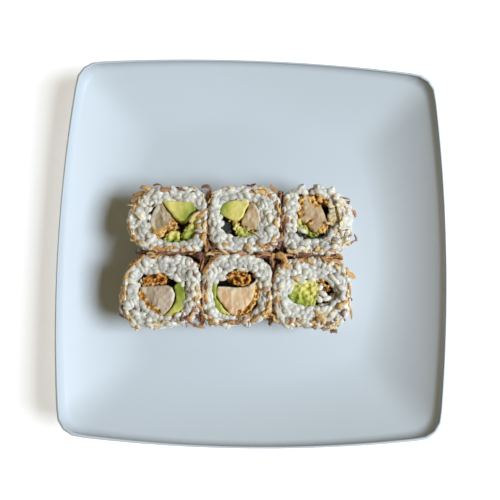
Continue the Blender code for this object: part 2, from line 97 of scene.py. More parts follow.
def leave_edit():
    bpy.ops.object.mode_set(mode="OBJECT")


def added(name):
    """The primitive that was just added, under its own name."""
    piece = bpy.context.object
    piece.name = piece.data.name = name
    return piece


def work(piece, kind, **settings):
    """Adds a modifier and applies it."""
    modifier = piece.modifiers.new(kind.title(), kind)
    for setting, value in settings.items():
        setattr(modifier, setting, value)
    only(piece)
    bpy.ops.object.modifier_apply(modifier=modifier.name)


def smooth(piece):
    only(piece)
    bpy.ops.object.shade_smooth()


def mark(piece, name, values):
    """Stores one number for each vertex, which the finish reads."""
    layer = piece.data.attributes.new(name, "FLOAT", "POINT")
    layer.data.foreach_set("value", values)


def mark_hollows(piece, rounds, depth):
    """Stores 0 in creases and 1 on crests, by each point's height over the surface smoothed."""
    mesh = piece.data
    count = len(mesh.vertices)
    places, normals = numpy.empty(count * 3), numpy.empty(count * 3)
    ends = numpy.empty(len(mesh.edges) * 2, dtype=numpy.int64)
    mesh.vertices.foreach_get("co", places)
    mesh.vertices.foreach_get("normal", normals)
    mesh.edges.foreach_get("vertices", ends)
    places, normals, ends = places.reshape(-1, 3), normals.reshape(-1, 3), ends.reshape(-1, 2)
    neighbours = numpy.bincount(ends.ravel(), minlength=count)
    smoothed = places.T.copy()
    for _ in range(rounds):
        for axis, row in enumerate(smoothed):
            total = (numpy.bincount(ends[:, 0], weights=row[ends[:, 1]], minlength=count)
                     + numpy.bincount(ends[:, 1], weights=row[ends[:, 0]], minlength=count))
            smoothed[axis] = total / neighbours
    height = ((places - smoothed.T) * normals).sum(axis=1)
    # The finishes paint shade into the creases by this mark.
    mark(piece, "crest", numpy.clip(0.5 + height / depth, 0, 1))


def copy_of_node(node, name):
    """The CAD piece's own form as a new piece, its loose triangles merged."""
    piece = bpy.data.objects.new(name, frame["nodes"][node].data.copy())
    piece.data.materials.clear()
    bpy.context.scene.collection.objects.link(piece)
    edit_all(piece)
    bpy.ops.mesh.remove_doubles(threshold=0.01 * MM)
    leave_edit()
    return piece


def joined(copies, name):
    """The copies made one piece under this name."""
    bpy.ops.object.select_all(action="DESELECT")
    for piece in copies:
        piece.select_set(True)
    bpy.context.view_layer.objects.active = copies[0]
    bpy.ops.object.join()
    piece = copies[0]
    piece.name = piece.data.name = name
    return piece


def dress(piece, material):
    """Gives a piece its finish, its body and its place in the list of materials."""
    piece.data.materials.clear()
    piece.data.materials.append(material)
    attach(piece, "root")


def rise(value, low, high):
    """0 below low, 1 above high, and a smooth step between."""
    t = min(1, max(0, (value - low) / (high - low)))
    return t * t * (3 - 2 * t)


# Finishes

class Flow:
    """A socket of a finish. Sums written on it add their Math nodes."""

    def __init__(self, finish, socket):
        self.finish, self.socket = finish, socket

    def maths(self, operation, *values):
        node = self.finish.node("ShaderNodeMath", {"operation": operation}, *values)
        return Flow(self.finish, node.outputs[0])

    def __add__(self, other):
        return self.maths("ADD", self, other)

    def __radd__(self, other):
        return self.maths("ADD", other, self)

    def __sub__(self, other):
        return self.maths("SUBTRACT", self, other)

    def __rsub__(self, other):
        return self.maths("SUBTRACT", other, self)

    def __mul__(self, other):
        return self.maths("MULTIPLY", self, other)

    def __rmul__(self, other):
        return self.maths("MULTIPLY", other, self)

    def step(self, low, high):
        """0 below low, 1 above high, and a smooth step between."""
        node = self.finish.node(
            "ShaderNodeMapRange", {"interpolation_type": "SMOOTHSTEP"}, self, low, high)
        return Flow(self.finish, node.outputs[0])


class Finish:
    """One material, built up node by node."""

    def __init__(self, name, **constants):
        self.material = bpy.data.materials.new(name)
        self.material.use_nodes = True
        self.tree = self.material.node_tree
        self.shader = self.tree.nodes["Principled BSDF"]
        for socket, value in constants.items():
            self.shader.inputs[socket.replace("_", " ")].default_value = value

    def node(self, kind, settings, *values, **named):
        node = self.tree.nodes.new(kind)
        for setting, value in settings.items():
            setattr(node, setting, value)
        for socket, value in zip(node.inputs, values):
            self.join(socket, value)
        for name, value in named.items():
            self.join(node.inputs[name.replace("_", " ")], value)
        return node

    def join(self, socket, value):
        if isinstance(value, Flow):
            self.tree.links.new(value.socket, socket)
        elif value is not None:
            socket.default_value = value

    def feed(self, socket, value):
        self.join(self.shader.inputs[socket], value)

    def place(self, scale=(1, 1, 1), turn=0.0):
        """Object coordinates, stretched and turned about Z."""
        coords = self.node("ShaderNodeTexCoord", {})
        source = Flow(self, coords.outputs["Object"])
        mapping = self.node("ShaderNodeMapping", {}, source,
                            Rotation=(0, 0, turn), Scale=scale)
        return Flow(self, mapping.outputs[0])

    def noise(self, size, detail=3.0, rough=0.55, place=None, bend=0.0):
        """Soft random values about 0.5. size is the size of one patch in metres."""
        node = self.node("ShaderNodeTexNoise", {}, Vector=place or self.place(), Scale=1 / size,
                         Detail=detail, Roughness=rough, Distortion=bend)
        return Flow(self, node.outputs[0])

    def cells(self, size):
        """0 in the middle of each cell, more towards its sides."""
        node = self.node("ShaderNodeTexVoronoi", {}, Vector=self.place(), Scale=1 / size)
        return Flow(self, node.outputs[0])

    def flat(self):
        """Across the piece's own unwrapped surface: lengthwise in X and sideways in Y."""
        coords = self.node("ShaderNodeTexCoord", {})
        return Flow(self, coords.outputs["UV"])

    def sideways(self, flat):
        split = self.node("ShaderNodeSeparateXYZ", {}, flat)
        return Flow(self, split.outputs["Y"])

    def stretched(self, flat, scale):
        mapping = self.node("ShaderNodeMapping", {}, flat, Scale=scale)
        return Flow(self, mapping.outputs[0])

    def value_of(self, name):
        node = self.node("ShaderNodeAttribute", {"attribute_name": name})
        return Flow(self, node.outputs["Fac"])

    def mix(self, share, a, b):
        node = self.node("ShaderNodeMix", {"data_type": "RGBA"})
        self.join(node.inputs["Factor"], share)
        for socket, colour in zip((node.inputs[6], node.inputs[7]), (a, b)):
            self.join(socket, colour if isinstance(colour, Flow) else (*colour, 1))
        return Flow(self, node.outputs[2])

    def ramp(self, value, *stops):
        """Colours along a value, each stop as (position, colour)."""
        node = self.node("ShaderNodeValToRGB", {}, value)
        while len(node.color_ramp.elements) < len(stops):
            node.color_ramp.elements.new(1)
        for element, (position, colour) in zip(node.color_ramp.elements, stops):
            element.position, element.color = position, (*colour, 1)
        return Flow(self, node.outputs[0])

    def relief(self, height, depth, strength):
        """Bumps, depth being how high a height of 1 stands in metres."""
        node = self.node("ShaderNodeBump", {}, Strength=strength, Distance=depth, Height=height)
        self.feed("Normal", Flow(self, node.outputs[0]))


def porcelain():
    """White glaze, faintly clouded, with the blue of the daylight on it."""
    finish = Finish("porcelain", Coat_Weight=0.04, Coat_Roughness=0.15, IOR=1.38)
    cloud = finish.noise(60 * MM, 2)
    finish.feed("Base Color", finish.mix(cloud, (0.70, 0.765, 0.82), (0.73, 0.79, 0.84)))
    finish.feed("Roughness", 0.4 + finish.noise(9 * MM, 4) * 0.08)
    finish.relief(finish.noise(22 * MM, 2), 0.12 * MM, 0.3)
    return finish.material


def cooked_rice():
    """White grains stuck together, clear in places, some with a grey, green or yellow cast."""
    finish = Finish("cooked_rice", Subsurface_Weight=0.35, Subsurface_Scale=1.2 * MM,
                    Subsurface_Radius=(1.0, 0.92, 0.8), IOR=1.40)
    tone = finish.value_of("tone")
    body = finish.ramp(tone, (0.0, (0.58, 0.55, 0.50)), (0.25, (0.74, 0.70, 0.62)),
                       (0.5, (0.88, 0.83, 0.72)), (0.8, (0.98, 0.94, 0.82)),
                       (0.93, (0.94, 0.88, 0.66)), (1.0, (0.95, 0.82, 0.67)))
    clear = finish.noise(3.4 * MM, 3).step(0.38, 0.68)
    grain = finish.mix(clear * 0.45, body, (0.64, 0.62, 0.57))
    # Painted shade: creases between the grains, low on the crest mark, are darker.
    crest = finish.value_of("crest").step(0.0, 0.55)
    finish.feed("Base Color", finish.mix(crest, (0.50, 0.47, 0.40), grain))
    finish.feed("Roughness", 0.24 + finish.noise(1.4 * MM, 2) * 0.3)
    finish.relief(finish.noise(1.1 * MM, 3), 0.25 * MM, 0.4)
    return finish.material


def fried_flake():
    """Shreds of shallot fried crisp, cream to wine red, layered lengthwise and browned at the
    edges."""
    finish = Finish("fried_flake", Subsurface_Weight=0.1, Subsurface_Scale=0.6 * MM, IOR=1.45)
    tone = finish.value_of("tone")
    body = finish.ramp(tone, (0.0, (0.95, 0.83, 0.58)), (0.15, (0.94, 0.70, 0.32)),
                       (0.30, (0.88, 0.48, 0.14)), (0.42, (0.66, 0.29, 0.075)),
                       (0.55, (0.62, 0.32, 0.18)), (0.68, (0.31, 0.09, 0.03)),
                       (0.80, (0.15, 0.042, 0.028)), (0.90, (0.22, 0.06, 0.075)),
                       (1.0, (0.52, 0.24, 0.23)))
    flat = finish.flat()
    layers = finish.noise(1.0, 3, 0.6, finish.stretched(flat, (1.6, 8, 1))).step(0.42, 0.66)
    edge = (finish.sideways(flat) * 2 - 1).maths("ABSOLUTE").step(0.55, 1.0)
    browned = finish.noise(2.2 * MM, 3).step(0.5, 0.72)
    lit = finish.mix(layers * 0.4, body, (0.86, 0.70, 0.46))
    toasted = finish.mix(browned * 0.28 + edge * 0.3, lit, (0.30, 0.10, 0.03))
    finish.feed("Base Color", toasted)
    finish.feed("Roughness", 0.36 + finish.noise(1.5 * MM, 2) * 0.3)
    finish.relief(layers + finish.noise(0.8 * MM, 4, 0.65), 0.25 * MM, 0.6)
    return finish.material


def mash_and_crumb():
    """Bits lodged round the filling, by tone: avocado mash, fried crumb, then rice."""
    finish = Finish("mash_and_crumb", Subsurface_Weight=0.2, Subsurface_Scale=1.0 * MM,
                    Subsurface_Radius=(1.0, 0.9, 0.4), IOR=1.42)
    tone = finish.value_of("tone")
    grit = finish.noise(0.7 * MM, 4, 0.6)
    body = finish.ramp(tone + (grit - 0.5) * 0.12, (0.0, (0.84, 0.80, 0.40)),
                       (0.2, (0.72, 0.71, 0.24)), (0.38, (0.46, 0.49, 0.10)),
                       (0.46, (0.74, 0.44, 0.10)), (0.60, (0.60, 0.27, 0.045)),
                       (0.80, (0.24, 0.09, 0.02)), (0.92, (0.70, 0.70, 0.66)),
                       (1.0, (0.82, 0.82, 0.78)))
    finish.feed("Base Color", finish.mix((grit - 0.4) * 0.6, body, (0.30, 0.16, 0.03)))
    finish.feed("Roughness", 0.34 + grit * 0.3)
    finish.relief(grit, 0.4 * MM, 0.7)
    return finish.material


def avocado_flesh():
    """Yellow within, green towards the skin."""
    finish = Finish("avocado_flesh", Subsurface_Weight=0.25, Subsurface_Scale=1.4 * MM,
                    Subsurface_Radius=(0.9, 1.0, 0.3), IOR=1.42)
    patch = finish.noise(3.2 * MM, 3)
    green = (finish.value_of("green") + (patch - 0.5) * 0.35).step(0.0, 1.0)
    body = finish.ramp(green, (0.0, (0.90, 0.78, 0.24)), (0.45, (0.77, 0.72, 0.17)),
                       (0.8, (0.46, 0.51, 0.075)), (1.0, (0.25, 0.32, 0.03)))
    finish.feed("Base Color", finish.mix(finish.noise(0.8 * MM, 4).step(0.5, 0.8) * 0.25,
                                         body, (0.80, 0.78, 0.32)))
    finish.feed("Roughness", 0.32 + patch * 0.25)
    finish.relief(finish.noise(1.6 * MM, 4) + finish.noise(0.5 * MM, 3) * 0.4, 0.35 * MM, 0.55)
    return finish.material


def chicken_meat(name, pale, dark, grain_turn):
    """Cut across its fibres, whiter where fat is, browned where the crust is."""
    finish = Finish(name, Subsurface_Weight=0.3, Subsurface_Scale=1.4 * MM,
                    Subsurface_Radius=(1.0, 0.7, 0.55), IOR=1.42)
    fibre = finish.noise(2.6 * MM, 4, 0.5, finish.place((1, 0.3, 0.3), grain_turn), bend=0.8)
    meat = finish.mix(fibre.step(0.32, 0.68), dark, pale)
    fat = finish.noise(2.2 * MM, 3, 0.5, finish.place((1, 0.3, 0.3), grain_turn)).step(0.58, 0.72)
    fat = (fat * 0.7 + finish.value_of("fat")).step(0.0, 0.9)
    meat = finish.mix(fat * 0.8, meat, (0.90, 0.82, 0.66))
    crag = finish.noise(1.9 * MM, 4, 0.5)
    # Painted shade: the crust is darker in its creases and where its crag relief is low.
    fried = finish.ramp(crag * 0.6 + finish.value_of("crest") * 0.4,
                        (0.25, (0.25, 0.075, 0.012)), (0.42, (0.60, 0.23, 0.025)),
                        (0.58, (0.84, 0.43, 0.08)), (0.74, (0.93, 0.66, 0.28)))
    crust = (finish.value_of("crust") + (crag - 0.5) * 0.9).step(0.32, 0.62)
    finish.feed("Base Color", finish.mix(crust, meat, fried))
    finish.feed("Roughness", 0.38 + crag * 0.3)
    finish.relief(fibre * (1 - crust) * 0.4 + crag * (0.3 + crust * 1.2), 0.6 * MM, 0.6)
    return finish.material


def fried_crust():
    """Batter fried golden to brown, with painted shade making its pits and creases dark brown."""
    finish = Finish("fried_crust", Subsurface_Weight=0.1, Subsurface_Scale=0.8 * MM, IOR=1.45)
    crag = finish.noise(2.3 * MM, 4, 0.52)
    pits = finish.cells(2.1 * MM)
    # Painted shade: pits of the relief and creases on the crest mark are darker.
    body = finish.ramp(crag * 0.5 + (0.5 - pits) * 0.2 + finish.value_of("crest") * 0.5,
                       (0.24, (0.11, 0.028, 0.005)), (0.42, (0.42, 0.12, 0.012)),
                       (0.58, (0.74, 0.29, 0.03)), (0.78, (0.90, 0.55, 0.17)))
    finish.feed("Base Color", body)
    finish.feed("Roughness", 0.36 + crag * 0.34)
    finish.relief(crag + (1 - pits) * 0.4, 0.8 * MM, 0.8)
    return finish.material


def damp_nori():
    """Pressed seaweed, nearly black, damp in patches."""
    finish = Finish("damp_nori", IOR=1.45, Specular_IOR_Level=0.6)
    weave = finish.noise(0.7 * MM, 5, 0.7)
    patch = finish.noise(6 * MM, 2)
    finish.feed("Base Color", finish.mix(weave, (0.004, 0.006, 0.004), (0.020, 0.030, 0.018)))
    finish.feed("Roughness", 0.26 + patch * 0.3)
    finish.relief(weave + patch, 0.35 * MM, 0.8)
    return finish.material


# Plate

PLATE_WIDTH = 210 * MM
SIDE_BULGE = 7.2 * MM
CORNER_RADIUS = 13 * MM
CORNER_LIFT = 4 * MM
RIM_RISE = 14.5 * MM
FLOOR_Z = 6 * MM
THICKNESS = 4 * MM
# Where the floor starts to rise, as a share of the way from the middle to the rim.
WELL_SHARE = 0.66
# The rise goes with the way out to this power, so the rim is steeper than the well.
RISE_POWER = 1.7
# The plate is round near its middle and turns square towards the rim, by this power.
SQUARE_POWER = 1.4
ROUND_STEPS = 160


def rim_distance(angle):
    """How far the rim is from the middle, seen from above, in this direction."""
    folded = abs((angle + math.pi / 4) % (math.pi / 2) - math.pi / 4)
    half = PLATE_WIDTH / 2
    chord = half - SIDE_BULGE
    side_radius = (chord**2 + SIDE_BULGE**2) / (2 * SIDE_BULGE)
    side_centre = half - side_radius
    inner = side_radius - CORNER_RADIUS
    corner = (side_centre + math.sqrt(2 * inner**2 - side_centre**2)) / 2
    turn = math.atan2(corner, corner - side_centre)
    joint = Vector((side_centre + side_radius * math.cos(turn), side_radius * math.sin(turn)))
    along = Vector((math.cos(folded), math.sin(folded)))
    if folded <= math.atan2(joint.y, joint.x):
        centre, radius = Vector((side_centre, 0)), side_radius
    else:
        centre, radius = Vector((corner, corner)), CORNER_RADIUS
    reach = along.dot(centre)
    return reach + math.sqrt(reach**2 - centre.length_squared + radius**2)


def plate_rings():
    """(share of the way out, height, lift at the corners), over the lip and back underneath."""
    underside = FLOOR_Z - THICKNESS
    rings = [(0.30, FLOOR_Z, 0.0), (0.55, FLOOR_Z, 0.0)]
    for step in range(12):
        share = WELL_SHARE + (1 - WELL_SHARE) * 0.975 * step / 11
        climb = (share - WELL_SHARE) / (1 - WELL_SHARE)
        rings.append((share, FLOOR_Z + RIM_RISE * climb**RISE_POWER, climb**2))
    rim = FLOOR_Z + RIM_RISE
    rings += [(0.986, rim + 0.05 * MM, 1.0), (0.994, rim - 0.25 * MM, 1.0),
              (0.999, rim - 0.9 * MM, 1.0), (1.0, rim - 1.6 * MM, 1.0),
              (0.997, rim - 2.4 * MM, 0.99)]
    for step in range(10, 0, -1):
        share = WELL_SHARE + (1 - WELL_SHARE) * 0.985 * (step - 0.4) / 10.2
        climb = (share - WELL_SHARE) / (1 - WELL_SHARE)
        rings.append((share, underside + RIM_RISE * climb**RISE_POWER, climb**2))
    rings += [(0.612, underside, 0.0), (0.602, 1.4 * MM, 0.0), (0.597, 0.3 * MM, 0.0),
              (0.590, 0.0, 0.0), (0.560, 0.0, 0.0), (0.553, 0.3 * MM, 0.0),
              (0.548, 1.4 * MM, 0.0), (0.540, underside, 0.0), (0.30, underside, 0.0)]
    return rings


def ring_key(share, height):
    """Names a ring by its place in the profile, rounded so that a vertex finds it again."""
    return round(share * 1000), round(height / MM * 20)


def make_plate():
    """A disc grown ring by ring over the lip and down to the foot, then pulled square."""
    half = PLATE_WIDTH / 2
    rings = plate_rings()
    bpy.ops.mesh.primitive_circle_add(vertices=ROUND_STEPS, radius=rings[0][0] * half,
                                      fill_type="TRIFAN", location=(0, 0, 0))
    plate = added("plate_glazed")
    bpy.ops.object.mode_set(mode="EDIT")
    bpy.ops.mesh.select_mode(type="EDGE")
    bpy.ops.transform.translate(value=(0, 0, rings[0][1]))
    bpy.ops.mesh.region_to_loop()
    for before, after in zip(rings, rings[1:]):
        bpy.ops.mesh.extrude_edges_move(
            TRANSFORM_OT_translate={"value": (0, 0, after[1] - before[1])})
        share = after[0] / before[0]
        bpy.ops.transform.resize(value=(share, share, 1), center_override=(0, 0, 0))
    bpy.ops.mesh.edge_face_add()
    bpy.ops.mesh.select_all(action="SELECT")
    bpy.ops.mesh.normals_make_consistent(inside=False)
    leave_edit()
    lift_at = {ring_key(share, height): lift for share, height, lift in rings}
    farthest = rim_distance(math.pi / 4)
    for vert in plate.data.vertices:
        share = vert.co.xy.length / half
        if share < 0.01:
            continue
        angle = math.atan2(vert.co.y, vert.co.x)
        rim = rim_distance(angle)
        pulled = (half + (rim - half) * min(1, share) ** SQUARE_POWER) * share
        lift = lift_at.get(ring_key(share, vert.co.z), 0)
        corner = (rim - half) / (farthest - half)
        vert.co = (pulled * math.cos(angle), pulled * math.sin(angle),
                   vert.co.z + CORNER_LIFT * corner * lift)
    smooth(plate)
    return plate


# Rice and flakes

# The middle of the hole in each roll's rice, in millimetres.
HOLES = {"back_left": (-42.2, 11.2), "back_middle": (-8.9, 13.0), "back_right": (29.4, 16.2),
         "front_left": (-47.2, -26.3), "front_middle": (-9.7, -24.3),
         "front_right": (28.4, -24.2)}
# Where the dark inside of a roll shows, so no grain leans over: x, y and radius.
OPEN_HOLLOWS = [
    (14.8, 7.2, 1.5), (17.0, 6.8, 1.6), (19.2, 6.4, 1.7), (21.3, 6.0, 1.7), (23.3, 5.4, 1.7),
    (25.2, 4.5, 1.7), (27.2, 3.9, 1.7), (29.3, 3.8, 1.7), (31.7, 4.4, 1.7), (33.9, 5.0, 1.8),
    (36.2, 5.9, 1.6), (34.3, 20.2, 0.8),
    (35.3, 18.0, 0.8), (36.0, 16.4, 0.9), (37.3, 14.0, 0.8), (38.5, 12.0, 1.0), (39.0, 9.8, 1.0),
    (38.6, -20.3, 1.8), (38.1, -23.0, 1.6), (26.0, -18.4, 0.7), (29.1, -17.5, 0.8),
    (32.0, -18.0, 0.9), (35.0, -18.9, 1.2), (18.8, -20.8, 1.0), (-2.6, -15.0, 1.6),
    (-0.6, -17.3, 1.6), (-14.0, -18.8, 1.4), (-16.8, -18.4, 1.2), (-42.6, -19.2, 1.4),
    (-43.4, -17.4, 0.9), (-56.6, -18.3, 0.8), (-14.7, 9.5, 2.0), (-13.6, 6.6, 1.6),
    (-55.4, 15.5, 0.7), (-54.2, 5.3, 0.8),
]
# What the random draws start from: the first roll's, and that of the loose shreds and crumbs.
FIRST_SEED = 21
LOOSE_SEED = 5
# No grain or flake stands higher than this.
CEILING = cad_box[1][2] + 0.7 * MM


def model_grain(name, length, width, bend, plump):
    """A ball drawn out to a grain, with one end fuller than the other."""
    bpy.ops.mesh.primitive_uv_sphere_add(segments=10, ring_count=7, radius=1, location=(0, 0, 0))
    grain = added(name)
    bpy.ops.object.mode_set(mode="EDIT")
    bpy.ops.transform.rotate(value=math.pi / 2, orient_axis="Y", center_override=(0, 0, 0))
    bpy.ops.transform.resize(value=(length / 2, width / 2, width * 0.43),
                             center_override=(0, 0, 0))
    leave_edit()
    for vert in grain.data.vertices:
        along = vert.co.x / (length / 2)
        fuller = 1 + plump * along
        square = 1 + 0.22 * (1 - along**2)
        vert.co.y *= fuller * square
        vert.co.z = vert.co.z * fuller * square - bend * along**2
    smooth(grain)
    return grain


# The size that each flake is modelled at, before it is stretched to its place's length and width.
FLAKE_LENGTH = 6 * MM
FLAKE_WIDTH = 2 * MM
FLAKE_THICKNESS = 0.42 * MM


def model_flake(name, curl, twist, ragged, cup):
    """A shred of fried shallot, curled along its length, twisted, cupped and ragged."""
    bpy.ops.mesh.primitive_grid_add(x_subdivisions=8, y_subdivisions=3, size=1,
                                    location=(0, 0, 0))
    flake = added(name)
    bpy.ops.object.mode_set(mode="EDIT")
    bpy.ops.transform.resize(value=(FLAKE_LENGTH, FLAKE_WIDTH, 1), center_override=(0, 0, 0))
    leave_edit()
    for vert in flake.data.vertices:
        along = vert.co.x / (FLAKE_LENGTH / 2)
        beside = vert.co.y / (FLAKE_WIDTH / 2)
        wear = noise.noise(Vector((along * 2.3, beside * 1.2, curl * 40 + twist)))
        across = vert.co.y * (1 - 0.45 * abs(along) ** 3) * (1 + ragged * wear)
        lean = twist * along
        bow = 0.16 * FLAKE_WIDTH * math.sin(3 * along + 5 * cup)
        vert.co.x *= 1 + 0.12 * ragged * wear
        vert.co.y = across * math.cos(lean) + bow
        vert.co.z = (across * math.sin(lean) + curl * FLAKE_LENGTH * (0.35 - along**2)
                     + cup * FLAKE_WIDTH * (0.4 - beside**2) + 0.18 * MM * wear)
    work(flake, "SOLIDIFY", thickness=FLAKE_THICKNESS, offset=0)
    smooth(flake)
    return flake


def model_crumb(name, seed):
    """A lump of crust or mash, 2 mm across. The seed gives it its form."""
    bpy.ops.mesh.primitive_ico_sphere_add(subdivisions=2, radius=MM, location=(0, 0, 0))
    crumb = added(name)
    for vert in crumb.data.vertices:
        lump = noise.noise(vert.co / MM * 1.1 + Vector((seed, 0, 0)))
        vert.co *= 1 + 0.75 * lump
    smooth(crumb)
    return crumb


def set_down(model, group, turn, place, scale, tone):
    """A copy of a modelled grain, flake or crumb, turned, placed and given its tone."""
    copy = bpy.data.objects.new(model.name, model.data.copy())
    bpy.context.scene.collection.objects.link(copy)
    size = Matrix.Diagonal((*scale, 1))
    copy.data.transform(Matrix.Translation(place) @ turn.to_4x4() @ size)
    above = max(vert.co.z for vert in copy.data.vertices) - CEILING
    if above > 0:
        copy.data.transform(Matrix.Translation((0, 0, -above)))
    mark(copy, "tone", [tone] * len(copy.data.vertices))
    group.append(copy)


def lying_on(normal, spin, tip):
    """The turn that lays a piece flat on a surface with this normal."""
    side = normal.orthogonal().normalized()
    base = Matrix((side, normal.cross(side).normalized(), normal)).transposed()
    return base @ Euler((0, tip, spin)).to_matrix()


def facing(normal, along):
    """The turn that lays a piece flat on a surface, its length as near this way as it goes."""
    across = normal.cross(along).normalized()
    return Matrix((across.cross(normal), across, normal)).transposed()


# Below the highest point of the rice by more than this, it is the hole and not the cut face.
CUT_DEPTH = 7.5 * MM
# Grains over the nori lie this much lower than the cut face beside it.
LIP_DROP = 0.35 * MM
# From the middle of a hole, this far out is rice on most sides.
RICE_AT = 15 * MM
# A start for rays from outside any roll.
OUTSIDE = 60 * MM


class Surface:
    """The rice solid of one roll, to set pieces down on."""

    def __init__(self, roll, hole):
        self.low, self.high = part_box(f"rice_{roll}")
        mesh = frame["nodes"][f"rice_{roll}"].data
        self.tree = BVHTree.FromPolygons([v.co.copy() for v in mesh.vertices],
                                         [tuple(p.vertices) for p in mesh.polygons])
        self.middle = (self.low + self.high) / 2
        self.hole = Vector(hole) * MM
        ring = [self.lip(*(self.hole + Vector((math.cos(turn), math.sin(turn))) * RICE_AT))
                for turn in range(12)]
        heights = sorted(spot.z for spot in ring if spot)
        self.level = heights[len(heights) // 2]

    def top(self, x, y):
        """The cut face at this place, or None over the hole and outside."""
        spot, _, _, _ = self.tree.ray_cast(Vector((x, y, self.high.z + MM)), Vector((0, 0, -1)))
        if spot is None or spot.z < self.high.z - CUT_DEPTH:
            return None
        return spot

    def lip(self, x, y, reach=1.5):
        """The cut face, or a spot over the nori just inside it, where grains lean inwards."""
        if any(math.hypot(x / MM - at_x, y / MM - at_y) < radius
               for at_x, at_y, radius in OPEN_HOLLOWS):
            return None
        spot = self.top(x, y)
        if spot is not None:
            return spot
        out = (Vector((x, y)) - self.hole).normalized() * reach * MM
        edge = self.top(x + out.x, y + out.y)
        return edge and Vector((x, y, edge.z - LIP_DROP))

    def side(self, angle, height):
        """Where the side is in this direction, and the way it faces."""
        out = Vector((math.cos(angle), math.sin(angle), 0))
        start = Vector((self.middle.x, self.middle.y, height)) + out * OUTSIDE
        spot, normal, _, _ = self.tree.ray_cast(start, -out)
        return spot, normal


def nearest_top(surfaces, place):
    """Height of the highest rice at this place, or of the nearest rice beside it."""
    for reach in (0, 1.2, 2.4, 3.6, 5.0):
        found = []
        for step in range(8 if reach else 1):
            turn = step * math.pi / 4
            beside = place + Vector((math.cos(turn), math.sin(turn))) * reach * MM
            found += [surface.top(*beside) for surface in surfaces.values()]
        heights = [spot.z for spot in found if spot]
        if heights:
            return max(heights)
    return max(surface.level for surface in surfaces.values())


def nearest_roll(surfaces, place):
    return min(surfaces.values(), key=lambda surface: (surface.middle.xy - place).length)


def apart(spots, spot, spacing):
    return all((spot - other).length_squared > spacing**2 for other in spots)


# The bed under the grains: how fine it is, how far inside the rice solid, and its tone.
BED_VOXEL = 0.9 * MM
BED_SINK = 0.9 * MM
BED_TONE = 0.25
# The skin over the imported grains: how fine it is, and the share of its faces that is kept.
GRAIN_VOXEL = 0.36 * MM
FACES_KEPT = 0.46
# Half the length that a grain needs to lie down, and how far a standing one is sunk.
GRAIN_REACH = 2.6 * MM
STANDING_SINK = 1.8 * MM
STANDING_TIP = 0.8
# Layers of grains: how far their middles are sunk, how far apart they are and how far they reach
# over the nori, in millimetres. The loose ones lie on top, on their own.
PACKED_LAYERS = ((1.3, 1.95, 0.9), (0.7, 2.15, 1.4))
LOOSE_LAYER = ((0.62, 2.8, 0.4),)
# Painted shade greys the rice next to the seam between the two rows; painted light whitens it at
# the rim.
SEAM_Y = -5.2 * MM
RIM_WIDTH = 3.6 * MM
# Grains on the sides: how far apart, and how far their middles are sunk.
SIDE_SPACING = 2.5 * MM
SIDE_SINK = 1.15 * MM
TOP_TRIES = 1900
SIDE_TRIES = 900


def scatter_top(surface, grains, group, draw, layers):
    """Grains on the cut face, lower ones first. The upper ones lean over the nori."""
    for layer, (sink, spacing, reach) in enumerate(layers):
        spots = []
        for _ in range(TOP_TRIES):
            x = draw.uniform(surface.low.x, surface.high.x)
            y = draw.uniform(surface.low.y, surface.high.y)
            spot = surface.lip(x, y, reach)
            if spot is None or not apart(spots, spot, spacing * MM):
                continue
            half = GRAIN_REACH * draw.uniform(0.9, 1.08)
            for _ in range(7):
                spin = draw.uniform(0, math.pi)
                along = Vector((math.cos(spin), math.sin(spin), 0)) * half * 0.78
                ends = (spot + along).xy, (spot - along).xy
                if all(surface.lip(*end, reach) for end in ends):
                    tip = draw.uniform(-0.22, 0.22)
                    break
            else:
                tip = draw.uniform(1.0, 1.5)
            spots.append(spot)
            if layer and draw.random() < 0.12:
                tip = draw.uniform(0.9, 1.5)
            sunk = sink * MM + (STANDING_SINK if abs(tip) > STANDING_TIP else 0)
            turn = Euler((draw.uniform(-0.3, 0.3), tip, 0)).to_matrix()
            turn = Matrix.Rotation(spin, 3, "Z") @ turn
            size = draw.uniform(0.86, 1.1)
            # Painted shade: tones are dimmed next to the seam between the two rows.
            seam_shade_factor = 0.5 + 0.5 * rise(abs(spot.y - SEAM_Y), 3 * MM, 14 * MM)
            swell = draw.uniform(0.9, 1.12)
            tone = draw.random() * seam_shade_factor
            # Painted light: grains at the rim get lighter tones.
            out = (spot.xy - surface.hole).normalized() * RIM_WIDTH
            if surface.top(*(spot.xy + out)) is None:
                tone = 0.36 + 0.6 * tone
            set_down(draw.choice(grains), group, turn, spot - Vector((0, 0, sunk)),
                     (size, size * swell, size), tone)


def scatter_side(surface, grains, group, draw):
    """Grains over the whole side, more upright than level."""
    spots = []
    for _ in range(SIDE_TRIES):
        angle = draw.uniform(-math.pi, math.pi)
        height = draw.uniform(surface.low.z + 1.6 * MM, surface.high.z - 3.2 * MM)
        spot, normal = surface.side(angle, height)
        if spot is None or not apart(spots, spot, SIDE_SPACING):
            continue
        spots.append(spot)
        out = Vector((normal.x, normal.y, normal.z * 0.3)).normalized()
        turn = lying_on(out, draw.uniform(0, math.pi), draw.uniform(-0.12, 0.12))
        low_end = spot.z - abs((turn @ Vector((3.2 * MM, 0, 0))).z)
        if low_end < surface.low.z - 0.1 * MM:
            turn = Matrix.Rotation(math.atan2(out.y, out.x) + math.pi / 2, 3, "Z")
        size = draw.uniform(0.88, 1.06)
        # Painted light: grains on the sides get lighter tones.
        set_down(draw.choice(grains), group, turn, spot - out * SIDE_SINK,
                 (size, size, size), 0.3 + 0.66 * draw.random())


